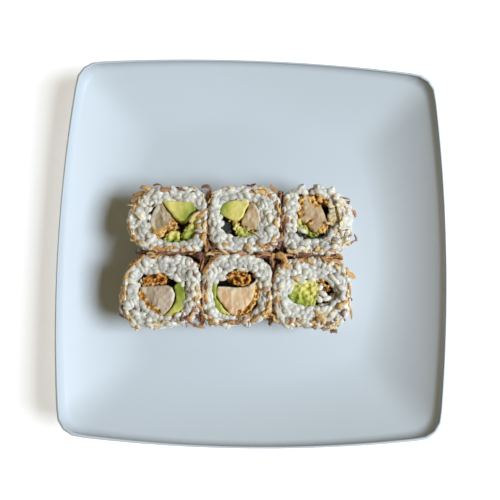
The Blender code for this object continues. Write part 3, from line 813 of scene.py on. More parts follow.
# How many small bits of flake lie along the edge of each roll: from and to in degrees, how far in
# (mm), how many, and the range of their tones.
EDGE_BITS = {
    "back_left": [(112, 168, 4, 8, (0.0, 0.45)), (60, 112, 1, 6, (0.4, 0.7)),
                  (-28, 24, 3, 7, (0.05, 0.5)), (195, 300, 1, 15, (0.1, 0.45))],
    "back_middle": [(42, 80, 4, 9, (0.05, 0.5)), (-60, 42, 1.5, 8, (0.1, 0.6)),
                    (230, 310, 1.5, 9, (0.2, 0.8))],
    "back_right": [(-50, 62, 7, 40, (0.0, 0.24)), (-40, 55, 5, 4, (0.95, 1.0)),
                   (-120, -50, 2, 12, (0.05, 0.6)), (140, 200, 1, 6, (0.3, 0.7))],
    "front_left": [(-70, 10, 3, 8, (0.0, 0.5)), (-60, 20, 3, 5, (0.9, 1.0)),
                   (150, 220, 1, 12, (0.05, 0.35)), (220, 290, 1.5, 7, (0.0, 0.4)),
                   (75, 150, 1, 10, (0.2, 0.5))],
    "front_middle": [(120, 180, 1.5, 8, (0.1, 0.7)), (180, 250, 2, 9, (0.1, 0.6)),
                     (-70, 10, 2.5, 10, (0.05, 0.5)), (250, 290, 2, 5, (0.3, 0.6))],
    "front_right": [(-100, -10, 5, 22, (0.0, 0.45)), (-90, -20, 3, 5, (0.85, 1.0)),
                    (-10, 60, 1.5, 7, (0.1, 0.5)), (60, 130, 1.5, 10, (0.1, 0.6)),
                    (130, 250, 2.5, 12, (0.1, 0.6))],
}
# Within this of the edge, a bit hugs the roll's shoulder.
SHOULDER = 1.3
# Broad shreds on the sides: how many places are tried, and how far apart they lie.
SIDE_FLAKE_TRIES = 260
SIDE_FLAKE_SPACING = 4.4 * MM


def fried_on(roll, surface, flakes, draw):
    """Small bits along the edge, and broad shreds that hug the side."""
    group = []
    for start, end, reach, count, tones in EDGE_BITS[roll]:
        for _ in range(count):
            angle = math.radians(draw.uniform(start, end))
            edge, _ = surface.side(angle, surface.high.z - 4 * MM)
            if edge is None:
                continue
            out = Vector((math.cos(angle), math.sin(angle), 0))
            level = Vector((-out.y, out.x, 0))
            inwards = draw.random() ** 1.6 * reach
            place = edge - out * (inwards + 0.2) * MM
            spot = surface.top(place.x, place.y) or Vector((place.x, place.y, edge.z + 2 * MM))
            hugging = inwards < SHOULDER
            lean = draw.uniform(0.5, 1.2) if hugging else draw.uniform(-0.2, 0.3)
            spin = draw.uniform(-0.4, 0.4) if hugging else draw.uniform(0, math.pi)
            normal = (out * lean + Vector((0, 0, 1))).normalized()
            turn = facing(normal, level * math.cos(spin) + out * math.sin(spin))
            longer = draw.uniform(0.6, 1.1) if hugging else draw.uniform(0.35, 0.8)
            set_down(draw.choice(flakes), group, turn,
                     spot + normal * draw.uniform(0.1, 0.5) * MM,
                     (longer, draw.uniform(0.7, 1.4), 0.9), draw.uniform(*tones))
    spots = []
    for _ in range(SIDE_FLAKE_TRIES):
        angle = draw.uniform(-math.pi, math.pi)
        height = draw.uniform(surface.low.z + 2.4 * MM, surface.high.z - 2.0 * MM)
        spot, normal = surface.side(angle, height)
        if spot is None or not apart(spots, spot, SIDE_FLAKE_SPACING):
            continue
        spots.append(spot)
        out = Vector((normal.x, normal.y, normal.z * 0.3)).normalized()
        level = Vector((-out.y, out.x, 0)).normalized()
        up = out.cross(level)
        tilt = draw.uniform(-0.5, 0.5)
        along = level * math.cos(tilt) + up * math.sin(tilt)
        turn = facing(out, along) @ Euler((draw.uniform(-0.15, 0.15), 0, 0)).to_matrix()
        set_down(draw.choice(flakes), group, turn, spot + out * draw.uniform(0.1, 0.4) * MM,
                 (draw.uniform(0.6, 1.3), draw.uniform(0.7, 1.6), 1), draw.random() ** 1.3)
    return group


# Grains that lean further into the holes: x, y, heading in degrees and depth below the rice.
INNER_GRAINS = [
    (-21.0, -15.4, 30, 1.2), (-18.6, -16.7, 20, 1.6), (-16.2, -15.0, 30, 1.4),
    (-13.9, -13.3, 10, 1.2), (-22.3, -17.8, 80, 1.4), (-20.4, -19.6, 70, 2.0),
    (-16.7, -17.7, 20, 2.4), (-40.1, -18.7, -30, 1.2), (-42.2, -17.5, 10, 1.6),
    (-44.4, -15.9, -10, 1.2), (-37.3, -21.6, 60, 1.6), (34.5, -24.6, -25, 1.0),
    (36.6, -27.0, 15, 1.2), (32.6, -27.4, -45, 1.2),
    (33.5, -21.1, 60, 2.0), (39.5, -19.9, -40, 1.6), (-30.1, 10.0, 60, 1.0),
    (-28.4, 8.2, 20, 0.8), (1.9, 19.4, 60, 1.0), (2.3, 10.1, -60, 1.6), (1.0, 8.1, -20, 1.4),
    (-19.1, 13.3, 60, 1.6), (-18.5, 10.1, 50, 2.0), (21.3, 19.9, 80, 1.4), (20.0, 14.4, 85, 1.4),
    (24.1, 7.9, -20, 1.6), (18.1, 8.8, 10, 1.0), (18.4, -19.3, 20, 1.4), (17.9, -23.1, 60, 1.4),
    (28.7, -17.2, -20, 1.2), (23.8, -18.7, 0, 1.2), (-57.2, -31.6, -60, 1.2),
    (-55.9, -33.4, -50, 1.0), (-54.2, -35.0, -40, 1.2), (-52.3, -36.3, -35, 1.0),
    (-50.2, -37.4, -20, 1.2),
]


def make_rice(roll, surfaces, seed, grains, flakes, finishes):
    """Packed rice with loose grains on it as one piece, and the flakes on them as another."""
    surface = surfaces[roll]
    draw = random.Random(seed)
    bed = copy_of_node(f"rice_{roll}", f"rice_bed_{roll}")
    work(bed, "REMESH", mode="VOXEL", voxel_size=BED_VOXEL)
    work(bed, "SMOOTH", factor=0.5, iterations=6)
    work(bed, "DISPLACE", strength=-BED_SINK, mid_level=0)
    mark(bed, "tone", [BED_TONE] * len(bed.data.vertices))
    packed, loose = [], []
    scatter_top(surface, grains, packed, draw, PACKED_LAYERS)
    scatter_side(surface, grains, packed, draw)
    scatter_top(surface, grains, loose, draw, LOOSE_LAYER)
    for x, y, heading, depth in INNER_GRAINS:
        if nearest_roll(surfaces, Vector((x, y)) * MM) is surface:
            turn = Euler((0, draw.uniform(-0.2, 0.2), math.radians(heading))).to_matrix()
            set_down(draw.choice(grains), loose, turn,
                     Vector((x * MM, y * MM, surface.level - depth * MM)), (1, 1, 1),
                     draw.uniform(0.2, 0.9))
    packed = joined([bed] + packed, f"packed_rice_{roll}")
    stick_together(packed)
    loose = joined(loose, f"loose_rice_{roll}")
    # Loose grains count as crests, so no crease shade is painted on them.
    mark(loose, "crest", [0.7] * len(loose.data.vertices))
    rice = joined([packed, loose], f"cooked_rice_{roll}")
    flaked = joined(fried_on(roll, surface, flakes, draw), f"fried_flakes_{roll}")
    dress(rice, finishes["rice"])
    dress(flaked, finishes["flake"])
    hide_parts(f"rice_{roll}")


def keep_outer(piece):
    """Deletes the closed pockets inside: all that isn't joined to the piece's outermost point."""
    edit_all(piece)
    bpy.ops.mesh.select_mode(type="VERT")
    bpy.ops.mesh.select_all(action="DESELECT")
    leave_edit()
    max(piece.data.vertices, key=lambda vert: vert.co.x).select = True
    bpy.ops.object.mode_set(mode="EDIT")
    bpy.ops.mesh.select_linked()
    bpy.ops.mesh.select_all(action="INVERT")
    bpy.ops.mesh.delete(type="VERT")
    leave_edit()


def stick_together(piece):
    """Runs the grains into one skin with soft creases, and keeps each grain's tone."""
    tones = [0.0] * len(piece.data.vertices)
    piece.data.attributes["tone"].data.foreach_get("value", tones)
    tree = KDTree(len(tones))
    for index, vert in enumerate(piece.data.vertices):
        tree.insert(vert.co, index)
    tree.balance()
    work(piece, "REMESH", mode="VOXEL", voxel_size=GRAIN_VOXEL)
    keep_outer(piece)
    work(piece, "DECIMATE", ratio=FACES_KEPT)
    left = piece.data.attributes.get("tone")
    if left:
        piece.data.attributes.remove(left)
    mark(piece, "tone", [tones[tree.find(vert.co)[1]] for vert in piece.data.vertices])
    mark_hollows(piece, 14, 0.9 * MM)
    smooth(piece)


# The shreds that stand out on the rolls: x, y, heading in degrees, length, width, tone, and how
# far below the rice beside it each lies. Lengths in millimetres.
SHREDS = [
    (-59.7, 25.4, 5, 9.6, 2.1, 0.40, 0.4), (-57.4, 27.5, -25, 6.0, 2.0, 0.28, 0.3),
    (-61.6, 21.2, -6, 8.1, 1.6, 0.50, 0.6), (-63.0, 18.8, -8, 8.1, 1.5, 0.06, 0.8),
    (-57.5, 18.4, -6, 5.9, 1.2, 0.40, 0.3), (-60.7, 22.6, 17, 6.1, 1.4, 0.12, 0.4),
    (-51.5, 29.6, -3, 4.3, 0.7, 0.72, 1.4), (-44.9, 27.7, -12, 10.5, 0.9, 0.46, 0.8),
    (-33.5, 26.4, -9, 2.3, 1.0, 0.86, 0.2), (-33.0, 28.6, -19, 4.6, 0.7, 0.14, 0.0),
    (-26.3, 29.5, -17, 5.1, 2.0, 0.70, 0.8), (-24.5, 24.8, -85, 8.3, 1.6, 0.76, 1.6),
    (-32.2, 13.5, 46, 7.8, 1.8, 0.16, -0.2), (-28.0, 15.3, 38, 7.3, 0.9, 0.40, 0.0),
    (-29.0, 6.2, -5, 6.4, 1.2, 0.04, 0.0), (-28.9, 4.6, -10, 4.4, 0.7, 0.66, 0.0),
    (-26.0, 8.7, -80, 5.5, 0.9, 0.38, 1.0), (-62.7, 0.3, -30, 4.7, 1.2, 0.22, 1.2),
    (-59.3, -1.5, -15, 5.6, 0.9, 0.30, 1.6), (-54.1, -3.4, -25, 8.4, 1.3, 0.30, 1.2),
    (-48.0, -5.1, 1, 6.4, 0.7, 0.42, 1.6), (-42.7, -5.5, 1, 6.4, 0.9, 0.62, 2.2),
    (-31.8, -3.3, -74, 4.4, 1.3, 0.32, 0.6), (-29.6, -6.6, -39, 5.0, 3.2, 0.86, 2.4),
    (-27.8, -5.6, 26, 5.3, 2.1, 0.90, 2.0), (-23.0, -2.6, -36, 5.4, 1.2, 0.66, 1.0),
    (-16.0, -4.0, 3, 16.1, 1.8, 0.64, 2.2), (-20.2, -4.9, -2, 8.6, 1.0, 0.36, 1.2),
    (-49.1, -6.1, 4, 10.6, 0.7, 0.62, 2.0), (-39.6, -5.6, 0, 8.0, 0.7, 0.74, 2.6),
    (-53.7, -6.0, -10, 4.3, 1.1, 0.26, 1.0), (-58.4, -9.5, 18, 5.5, 1.5, 0.24, 0.8),
    (-56.2, -8.0, 20, 3.3, 0.9, 0.44, 0.6), (-64.8, -16.4, -106, 8.3, 1.2, 0.36, 1.4),
    (-64.0, -13.2, -106, 3.3, 0.7, 0.10, 1.0), (-65.7, -24.4, -32, 5.7, 1.6, 0.34, 1.2),
    (-66.8, -27.9, -11, 4.8, 1.4, 0.18, 1.4), (-68.8, -31.3, -69, 3.9, 1.2, 0.04, 1.6),
    (-65.8, -38.8, -21, 7.4, 1.3, 0.86, 3.0), (-58.7, -39.5, -3, 7.9, 1.1, 0.22, 1.8),
    (-51.7, -41.6, -28, 4.3, 1.3, 0.24, 1.8), (-27.9, -32.6, -60, 7.2, 1.5, 0.26, 0.0),
    (-25.4, -37.1, -49, 4.1, 1.4, 0.02, 0.0), (-25.8, -39.5, -55, 5.7, 0.7, 0.68, 0.0),
    (-29.1, -36.7, -68, 4.5, 0.9, 0.88, 0.2), (-24.4, -36.4, -70, 3.3, 1.1, 0.68, 1.2),
    (-31.7, -14.8, -51, 6.1, 2.7, 0.88, 1.2), (-32.3, -11.4, -67, 5.8, 1.0, 0.30, 0.8),
    (-27.4, -16.1, -78, 7.0, 1.2, 0.30, 0.6), (-26.4, -27.2, -67, 3.4, 1.8, 0.30, 0.2),
    (-29.5, -26.7, -53, 3.3, 1.6, 0.30, 0.2), (-32.6, -25.3, -17, 3.3, 1.1, 0.92, 0.1),
    (-28.4, -20.8, -82, 6.5, 0.9, 0.70, 2.5), (-28.2, -42.5, -9, 5.9, 1.1, 0.44, 1.2),
    (-30.8, -41.2, -17, 3.3, 1.1, 0.98, 0.6), (-26.3, -8.6, 42, 4.9, 1.4, 0.14, 1.0),
    (-17.7, -40.8, -5, 4.8, 0.7, 0.42, 0.3), (-13.5, -39.8, 8, 5.8, 0.7, 0.64, 0.3),
    (-20.3, -41.2, -4, 3.7, 0.7, 0.44, 0.6), (-23.4, -5.6, -11, 4.9, 1.6, 0.12, 0.8),
    (-3.1, 30.6, 7, 4.7, 1.0, 0.88, 1.6), (2.6, 29.6, -25, 4.9, 1.4, 0.10, 0.6),
    (1.4, 26.9, -10, 5.5, 2.3, 0.26, 0.3), (4.7, 27.6, -54, 4.7, 1.8, 0.30, 0.5),
    (8.2, 29.3, -55, 5.1, 1.4, 0.42, 0.9), (9.6, 25.4, -81, 7.3, 1.4, 0.74, 1.6),
    (6.6, 24.8, -56, 3.9, 1.4, 0.52, 0.3), (7.4, 26.2, 17, 3.4, 0.7, 0.98, 0.4),
    (12.9, 19.8, -66, 4.2, 1.6, 0.36, 1.4), (12.4, 14.5, -80, 4.7, 1.5, 0.20, 0.8),
    (12.0, 17.2, -74, 3.4, 0.7, 0.70, 1.6), (14.1, 10.0, -78, 6.7, 1.6, 0.92, 2.0),
    (-2.1, -2.2, 24, 7.0, 0.7, 0.20, 0.3), (3.8, -0.5, -31, 7.0, 2.3, 0.38, 0.6),
    (1.4, -2.5, -11, 5.0, 1.6, 0.54, 1.0), (10.8, 2.1, 14, 7.8, 1.4, 0.54, 0.6),
    (9.2, -0.9, -33, 5.8, 0.7, 0.98, 0.0), (-2.8, -5.6, -29, 2.7, 1.4, 0.38, 1.6),
    (-7.7, -3.2, 8, 7.0, 1.0, 0.30, 1.6), (-9.2, -4.5, -2, 6.5, 0.7, 0.66, 2.4),
    (-0.4, 4.9, -34, 4.6, 0.7, 0.14, 0.0), (13.3, -6.6, -59, 6.5, 3.3, 0.30, 0.8),
    (16.1, -7.5, -55, 3.9, 1.6, 0.42, 1.6), (18.5, -3.6, -23, 6.5, 2.1, 0.14, 0.9),
    (20.4, -3.3, -71, 3.4, 1.4, 0.28, 0.8), (26.8, -3.1, -27, 4.0, 1.9, 0.36, 0.9),
    (23.3, -7.5, -3, 5.4, 1.2, 0.84, 1.6), (27.2, -7.6, -44, 2.7, 1.4, 0.32, 1.2),
    (30.4, -7.6, -31, 5.1, 1.8, 0.14, 1.0), (35.7, -3.9, -21, 8.2, 1.2, 0.98, 1.4),
    (29.4, -5.7, -1, 14.2, 1.4, 0.70, 3.0), (19.5, -5.3, -1, 7.6, 1.2, 0.66, 2.8),
    (22.7, -5.1, -5, 4.9, 1.4, 0.60, 2.4), (43.4, -5.1, -39, 4.2, 1.8, 0.28, 1.4),
    (41.3, -7.8, -15, 7.9, 1.6, 0.30, 1.4), (43.3, -9.7, -25, 3.6, 1.1, 0.46, 1.4),
    (39.1, -5.6, -11, 5.0, 1.1, 0.40, 2.2), (37.4, -7.0, -10, 3.9, 1.0, 0.64, 2.0),
    (44.6, 26.2, -15, 8.5, 0.7, 0.66, 0.4), (46.1, 23.4, 10, 6.4, 1.2, 0.66, 0.6),
    (48.5, 23.8, -31, 1.7, 1.4, 0.90, 0.6), (50.9, 19.8, -51, 6.6, 1.4, 0.50, 1.6),
    (48.9, 20.6, -15, 4.0, 1.0, 0.20, 0.9), (44.3, 22.1, 10, 5.0, 1.0, 0.06, 0.3),
    (42.1, 17.8, -61, 5.6, 1.2, 0.12, 0.2), (40.5, 20.7, -62, 2.8, 0.9, 0.72, 0.1),
    (43.5, 12.1, -34, 6.6, 2.9, 0.96, 0.3), (42.1, 13.1, -21, 3.5, 1.1, 0.50, 0.1),
    (47.6, 10.1, -60, 6.9, 1.4, 0.22, 0.9), (48.9, 7.4, -56, 3.9, 0.9, 0.36, 1.2),
    (42.2, 3.2, -56, 3.9, 1.3, 0.96, 0.3), (47.6, 4.1, -71, 6.9, 1.3, 0.14, 1.2),
    (47.1, 1.9, -24, 3.0, 1.0, 0.30, 1.4), (52.4, 5.1, -76, 3.7, 0.9, 0.94, 2.0),
    (50.3, 2.5, 30, 5.1, 0.7, 0.98, 2.4), (40.5, 1.5, -19, 4.6, 0.7, 0.20, 0.2),
    (52.2, 17.5, -63, 2.5, 0.7, 0.64, 2.0), (10.9, -15.0, 31, 4.3, 1.4, 0.28, 0.8),
    (9.8, -19.1, -65, 5.3, 1.6, 0.70, 1.4), (10.8, -16.6, -8, 3.3, 1.1, 0.62, 1.0),
    (20.2, -17.4, -34, 4.6, 1.9, 0.18, 0.1), (10.1, -25.5, -55, 3.2, 1.2, 0.40, 0.9),
    (9.1, -23.3, -80, 3.2, 1.1, 0.76, 2.2), (6.2, -31.4, -62, 4.7, 1.8, 0.38, 0.9),
    (6.8, -35.6, -20, 7.4, 1.4, 0.30, 0.9), (5.8, -37.2, -11, 4.9, 1.1, 0.10, 1.4),
    (8.3, -38.4, -11, 4.9, 0.7, 0.42, 1.8), (10.4, -38.6, -44, 3.7, 1.2, 0.22, 1.6),
    (34.7, -35.7, -21, 8.6, 3.0, 0.16, 0.2), (31.2, -34.0, -39, 4.9, 0.9, 0.34, 0.1),
    (24.0, -38.8, -21, 5.7, 1.5, 0.40, 1.2), (27.4, -39.2, -30, 3.1, 1.2, 0.94, 0.9),
    (32.5, -41.2, -19, 9.1, 2.7, 0.98, 0.9), (30.3, -39.3, -17, 5.0, 1.3, 0.28, 0.6),
    (39.9, -37.4, -47, 2.8, 1.2, 0.88, 0.3), (44.2, -34.8, -49, 4.1, 1.0, 0.86, 0.3),
    (45.9, -31.7, -44, 4.5, 1.1, 0.26, 0.6), (48.0, -29.1, -73, 5.5, 1.0, 0.12, 0.9),
    (49.3, -33.6, -73, 7.2, 1.3, 0.34, 1.4), (48.7, -23.0, -77, 3.3, 1.0, 0.80, 1.6),
    (49.3, -26.8, -74, 2.8, 0.7, 0.84, 1.8), (40.8, -43.6, -30, 3.7, 2.1, 0.58, 2.2),
    (44.9, -37.2, -32, 3.8, 1.5, 0.56, 0.9), (38.5, -39.8, -44, 4.5, 1.6, 0.30, 0.9),
    (48.5, -14.1, -47, 7.2, 2.3, 0.30, 1.6), (36.4, -42.9, -15, 3.9, 1.1, 0.34, 2.0),
    (43.6, -31.3, -52, 2.6, 1.0, 0.16, 0.3),
]


# A shred laid deeper than this leans outwards with the side of its roll.
SHRED_LEANS_AT = 0.8
# How far the middle of a shred with no depth is above the rice.
SHRED_ABOVE = 0.75


def lay_shreds(surfaces, flakes, finishes, draw):
    """Sets the shreds down one by one. Those low on an edge lean outwards with it."""
    group = []
    for x, y, heading, length, width, tone, sink in SHREDS:
        place = Vector((x, y)) * MM
        turn = math.radians(heading)
        across = Vector((-math.sin(turn), math.cos(turn)))
        outwards = place - nearest_roll(surfaces, place).middle.xy
        lean = draw.uniform(-0.2, 0.2)
        if sink >= SHRED_LEANS_AT:
            lean = -math.copysign(min(0.9, 0.15 + 0.35 * sink), across.dot(outwards))
        pose = (Matrix.Rotation(turn, 3, "Z")
                @ Euler((lean, draw.uniform(-0.1, 0.1), 0)).to_matrix())
        height = nearest_top(surfaces, place) + (SHRED_ABOVE - sink) * MM
        size = (length * MM / FLAKE_LENGTH, width * MM / FLAKE_WIDTH / math.cos(lean), 1)
        set_down(draw.choice(flakes), group, pose, Vector((x * MM, y * MM, height)), size, tone)
    dress(joined(group, "fried_shreds"), finishes["flake"])


# Browned flakes caught between neighbouring rolls, dark partly as painted shade: from, to (mm),
# how many.
SEAMS_BETWEEN = [((-60, -5.2), (44, -5.2), 120), ((-25.3, -3), (-25.3, 26), 34),
                 ((12.8, -3), (12.8, 27), 34), ((-27.3, -40), (-27.3, -7), 36),
                 ((8.7, -39), (8.7, -7), 36)]
# Below the rice by more than this (mm), they are painted darker, as shade.
PAINTED_SHADE_BELOW = 2.6


def fill_seams(surfaces, flakes, finishes, draw):
    """Dark flakes stand between the rolls, squeezed upright, deeper ones painted darker as shade.
    """
    group = []
    for start, end, count in SEAMS_BETWEEN:
        start, end = Vector(start) * MM, Vector(end) * MM
        along = math.atan2(end.y - start.y, end.x - start.x)
        for _ in range(count):
            place = start.lerp(end, draw.random())
            below = draw.uniform(1.4, 7.0)
            side = Vector((-math.sin(along), math.cos(along))) * draw.uniform(-0.7, 0.7) * MM
            height = nearest_top(surfaces, place) - below * MM
            pose = (Matrix.Rotation(along + draw.uniform(-0.25, 0.25), 3, "Z")
                    @ Euler((draw.uniform(0.5, 1.4) * draw.choice((-1, 1)), 0, 0)).to_matrix())
            # Painted shade: flakes deeper in the gap get darker tones.
            tone = draw.uniform(0.58, 0.9) if below > PAINTED_SHADE_BELOW else draw.uniform(0.3, 0.8)
            set_down(draw.choice(flakes), group, pose,
                     Vector((place.x + side.x, place.y + side.y, height)),
                     (draw.uniform(0.6, 1.3), draw.uniform(0.8, 1.6), 1), tone)
    dress(joined(group, "browned_and_shaded_flakes_between"), finishes["flake"])


# Crumbs and mash lodged round the fillings: from x and y, to x and y, how many, how wide, the
# range of their tones and how far below the rice. Lengths in millimetres.
CRUMBS = [
    (-49.8, 2.1, -42.9, 3.9, 10, 1.4, 0.10, 0.30, 1.5),
    (-43.1, 8.8, -41.1, 11.6, 5, 1.0, 0.45, 0.60, 1.5),
    (-38.2, 6.2, -32.4, 8.5, 14, 1.3, 0.05, 0.35, 1.2),
    (-53.7, 6.9, -49.8, 2.1, 20, 1.7, 0.44, 0.58, 0.1),
    (-30.9, 10.2, -27.6, 7.6, 5, 1.6, 0.95, 1.00, 1.0),
    (-42.4, 2.3, -34.4, 4.7, 8, 1.0, 0.20, 0.40, 2.5),
    (-11.2, 11.3, -8.0, 9.7, 8, 1.3, 0.45, 0.65, 1.0),
    (-10.1, 8.0, -1.4, 6.6, 18, 1.5, 0.05, 0.30, 0.8),
    (-7.9, 4.8, -3.0, 4.9, 8, 1.3, 0.10, 0.35, 1.2),
    (-13.7, 12.3, -9.3, 10.2, 8, 1.2, 0.45, 0.60, 0.8),
    (-10.9, 5.8, -8.7, 4.8, 4, 1.2, 0.05, 0.20, 1.5),
    (22.3, 23.7, 23.4, 14.4, 16, 1.3, 0.40, 0.75, 1.0),
    (21.3, 13.2, 25.7, 9.0, 12, 1.4, 0.05, 0.30, 0.9),
    (27.8, 11.2, 32.8, 7.0, 12, 1.3, 0.10, 0.45, 0.9),
    (26.1, 20.0, 26.7, 13.4, 8, 1.2, 0.45, 0.70, 0.8),
    (33.3, 8.1, 38.8, 9.3, 10, 1.1, 0.50, 0.80, 1.0),
    (25.5, 26.0, 28.8, 23.9, 6, 1.2, 0.60, 0.80, 1.0),
    (-57.7, -24.2, -55.9, -29.9, 8, 1.1, 0.45, 0.70, 0.9),
    (-56.5, -29.0, -48.3, -36.0, 30, 1.5, 0.45, 0.75, 0.9),
    (-47.8, -36.6, -41.4, -38.0, 12, 1.3, 0.10, 0.35, 0.9),
    (-58.4, -21.0, -53.1, -22.0, 12, 1.4, 0.44, 0.56, 0.7),
    (-12.0, -20.6, -4.4, -20.3, 14, 1.4, 0.46, 0.62, 1.2),
    (-9.6, -13.5, -3.6, -16.6, 8, 1.3, 0.45, 0.60, 0.6),
    (-0.4, -20.8, 1.1, -28.2, 10, 1.2, 0.45, 0.60, 0.7),
    (-12.0, -36.4, -7.8, -35.3, 8, 1.3, 0.45, 0.60, 0.7),
    (34.0, -18.5, 37.2, -23.2, 10, 1.1, 0.50, 0.80, 1.0),
    (19.5, -21.5, 32.4, -20.1, 10, 1.2, 0.10, 0.30, 0.5),
    (17.4, -29.5, 19.5, -26.3, 8, 1.2, 0.15, 0.35, 0.7),
]


# How far crumbs stray from their line, in millimetres.
CRUMB_STRAY = 0.6


def lay_crumbs(surfaces, crumbs, finishes, draw):
    """Strews crumbs along each line, at the depth that their row gives."""
    group = []
    for x0, y0, x1, y1, count, width, low_tone, high_tone, depth in CRUMBS:
        for _ in range(count):
            share = draw.random()
            x = x0 + (x1 - x0) * share + draw.gauss(0, CRUMB_STRAY)
            y = y0 + (y1 - y0) * share + draw.gauss(0, CRUMB_STRAY)
            roll = nearest_roll(surfaces, Vector((x, y)) * MM)
            place = Vector((x * MM, y * MM, roll.level - (depth + draw.uniform(0.1, 1.3)) * MM))
            turn = Euler([draw.uniform(0, 6) for _ in range(3)]).to_matrix()
            size = width / 2 * draw.uniform(0.6, 1.25)
            set_down(draw.choice(crumbs), group, turn, place, (size, size * 0.8, size * 0.7),
                     draw.uniform(low_tone, high_tone))
    dress(joined(group, "filling_crumbs"), finishes["crumb"])


# Fillings

def side_reader(node):
    """Gives, for a place, how far the filling's side is and in which direction."""
    mesh = frame["nodes"][node].data
    tree = BVHTree.FromPolygons([v.co.copy() for v in mesh.vertices],
                                [tuple(p.vertices) for p in mesh.polygons])
    low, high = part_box(node)
    level = (low.z + high.z) / 2

    def read(place):
        spot, normal, _, distance = tree.find_nearest(Vector((place.x, place.y, level)))
        return distance, math.degrees(math.atan2(normal.y, normal.x))
    return read


# The form of a filling: how fine, and how far it is swelled after smoothing has shrunk it.
FILLING_VOXEL = 0.5 * MM
FILLING_SWELL = 0.35 * MM


def filling_form(node, name):
    """The CAD piece's form with an even, soft-edged surface to work on."""
    piece = copy_of_node(node, name)
    work(piece, "REMESH", mode="VOXEL", voxel_size=FILLING_VOXEL)
    work(piece, "SMOOTH", factor=0.5, iterations=3)
    work(piece, "DISPLACE", strength=FILLING_SWELL, mid_level=0)
    return piece


def roughen(piece, amount, size, where=None):
    """Moves the surface in and out by seeded noise, more where the weight is higher."""
    normals = [vert.normal.copy() for vert in piece.data.vertices]
    for index, vert in enumerate(piece.data.vertices):
        weight = where[index] if where else 1
        if weight > 0:
            value = noise.turbulence(vert.co / size, 3, False)
            vert.co += normals[index] * (value - 0.45) * amount * weight


def finish_filling(piece, node, material):
    smooth(piece)
    dress(piece, material)
    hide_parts(node)


def within(angle, centre, width):
    """Whether an angle is less than width from the centre, all in degrees."""
    return abs((angle - centre + 180) % 360 - 180) < width


# Which sides of each piece of chicken carry crust, as (middle and half width in degrees, the
# highest y in mm), and how deep.
CRUST_SIDES = {
    "back_left": ([(10, 55, 12), (-100, 60, 9)], 2.4),
    "back_middle": ([(-110, 30, 9)], 1.2),
    "back_right": ([(170, 60, 40), (60, 30, 40), (-60, 60, 40)], 4.0),
    "front_left": ([(215, 45, 0)], 3.8),
    "front_middle": ([(-20, 70, 0)], 3.4),
}
# Which side of it is white with fat: (middle in degrees, half width), and how deep.
FAT_SIDES = {
    "back_left": ((165, 50), 3.0), "back_middle": ((10, 50), 1.6), "back_right": ((200, 20), 1.0),
    "front_left": ((10, 30), 1.2), "front_middle": ((90, 60), 0.8),
}


def make_chicken(roll, material):
    """Meat, with its crust and its fat marked by side and by depth."""
    node = f"chicken_{roll}"
    piece = filling_form(node, f"fried_chicken_{roll}")
    read = side_reader(node)
    sides, depth = CRUST_SIDES[roll]
    fat_side, fat_depth = FAT_SIDES[roll]
    crust, fat = [], []
    for vert in piece.data.vertices:
        distance, angle = read(vert.co)
        near = 1 - rise(distance, 0.5 * depth * MM, 1.15 * depth * MM)
        faces = any(within(angle, middle, half) and vert.co.y < most * MM
                    for middle, half, most in sides)
        crust.append(near if faces else 0.0)
        pale = 1 - rise(distance, 0.6 * fat_depth * MM, 1.1 * fat_depth * MM)
        fat.append(pale if within(angle, *fat_side) else 0.0)
    roughen(piece, 1.6 * MM, 1.8 * MM, [0.2 + value for value in crust])
    mark(piece, "crust", crust)
    mark(piece, "fat", fat)
    mark_hollows(piece, 6, 0.5 * MM)
    finish_filling(piece, node, material)


# The direction in which each piece of avocado turns green, and how green it is at the yellow end.
GREEN_SIDES = {
    "avocado_slice_back_left": (-30, -0.45), "avocado_slice_back_middle": (165, -0.55),
    "avocado_slice_front_left": (60, 0.25), "avocado_slice_front_middle": (190, 0.2),
    "avocado_end_back_left": (-90, -0.25), "avocado_end_back_middle": (-90, -0.3),
    "avocado_end_back_right": (-90, -0.3), "avocado_end_front_right": (-120, -0.05),
    "avocado_edge_back_left": (-60, 0.0),
}
# How high and how wide the lumps are, on mash and on a slice.
MASH_LUMPS = (1.7 * MM, 2.3 * MM)
SLICE_LUMPS = (0.5 * MM, 5 * MM)


def make_avocado(node, material):
    """A slice or a lump of mash, which turns green towards one side."""
    mashed = "slice" not in node
    piece = filling_form(node, node.replace("avocado", "green_avocado"))
    turn, base = GREEN_SIDES[node]
    way = Vector((math.cos(math.radians(turn)), math.sin(math.radians(turn)), 0))
    spans = [vert.co.dot(way) for vert in piece.data.vertices]
    low, high = min(spans), max(spans)
    mark(piece, "green", [base + (1 - base) * (span - low) / (high - low) for span in spans])
    amount, size = MASH_LUMPS if mashed else SLICE_LUMPS
    roughen(piece, amount, size)
    finish_filling(piece, node, material)


def make_crust(node, material):
    """A loose piece of crust, craggy all over."""
    piece = filling_form(node, node.replace("crust", "loose_crust"))
    roughen(piece, 2.6 * MM, 2.4 * MM)
    mark_hollows(piece, 8, 0.7 * MM)
    finish_filling(piece, node, material)


# Setting

def make_floor():
    """A plain pale floor, just under the foot ring."""
    bpy.ops.mesh.primitive_plane_add(size=4, location=(0, 0, -0.05 * MM))
    floor = added("floor")
    finish = Finish("pale_floor", Base_Color=(0.97, 0.97, 0.97, 1), Roughness=0.9,
                    Specular_IOR_Level=0.0, Emission_Color=(1, 1, 1, 1), Emission_Strength=0.45)
    floor.data.materials.append(finish.material)


# The light comes from the right and a little from the front, 45 degrees up. In metres.
WINDOW_AT = (1.03, -0.15, 1.04)
WINDOW_SIZE = (0.66, 0.60)
WINDOW_POWER = 24.6
WINDOW_COLOUR = (0.79, 0.89, 1.0)
# The room fills the shadows with a dim warm light.
ROOM_COLOUR = (1.0, 0.74, 0.30, 1)
ROOM_STRENGTH = 0.15
# The camera, fitted to the plate's outline: where it is, in metres, its turn and its lens.
CAMERA_AT = (-0.0126, -0.0300, 0.2867)
CAMERA_TURN = (5.98, -2.23, 1.15)
LENS = 36
SENSOR = 36


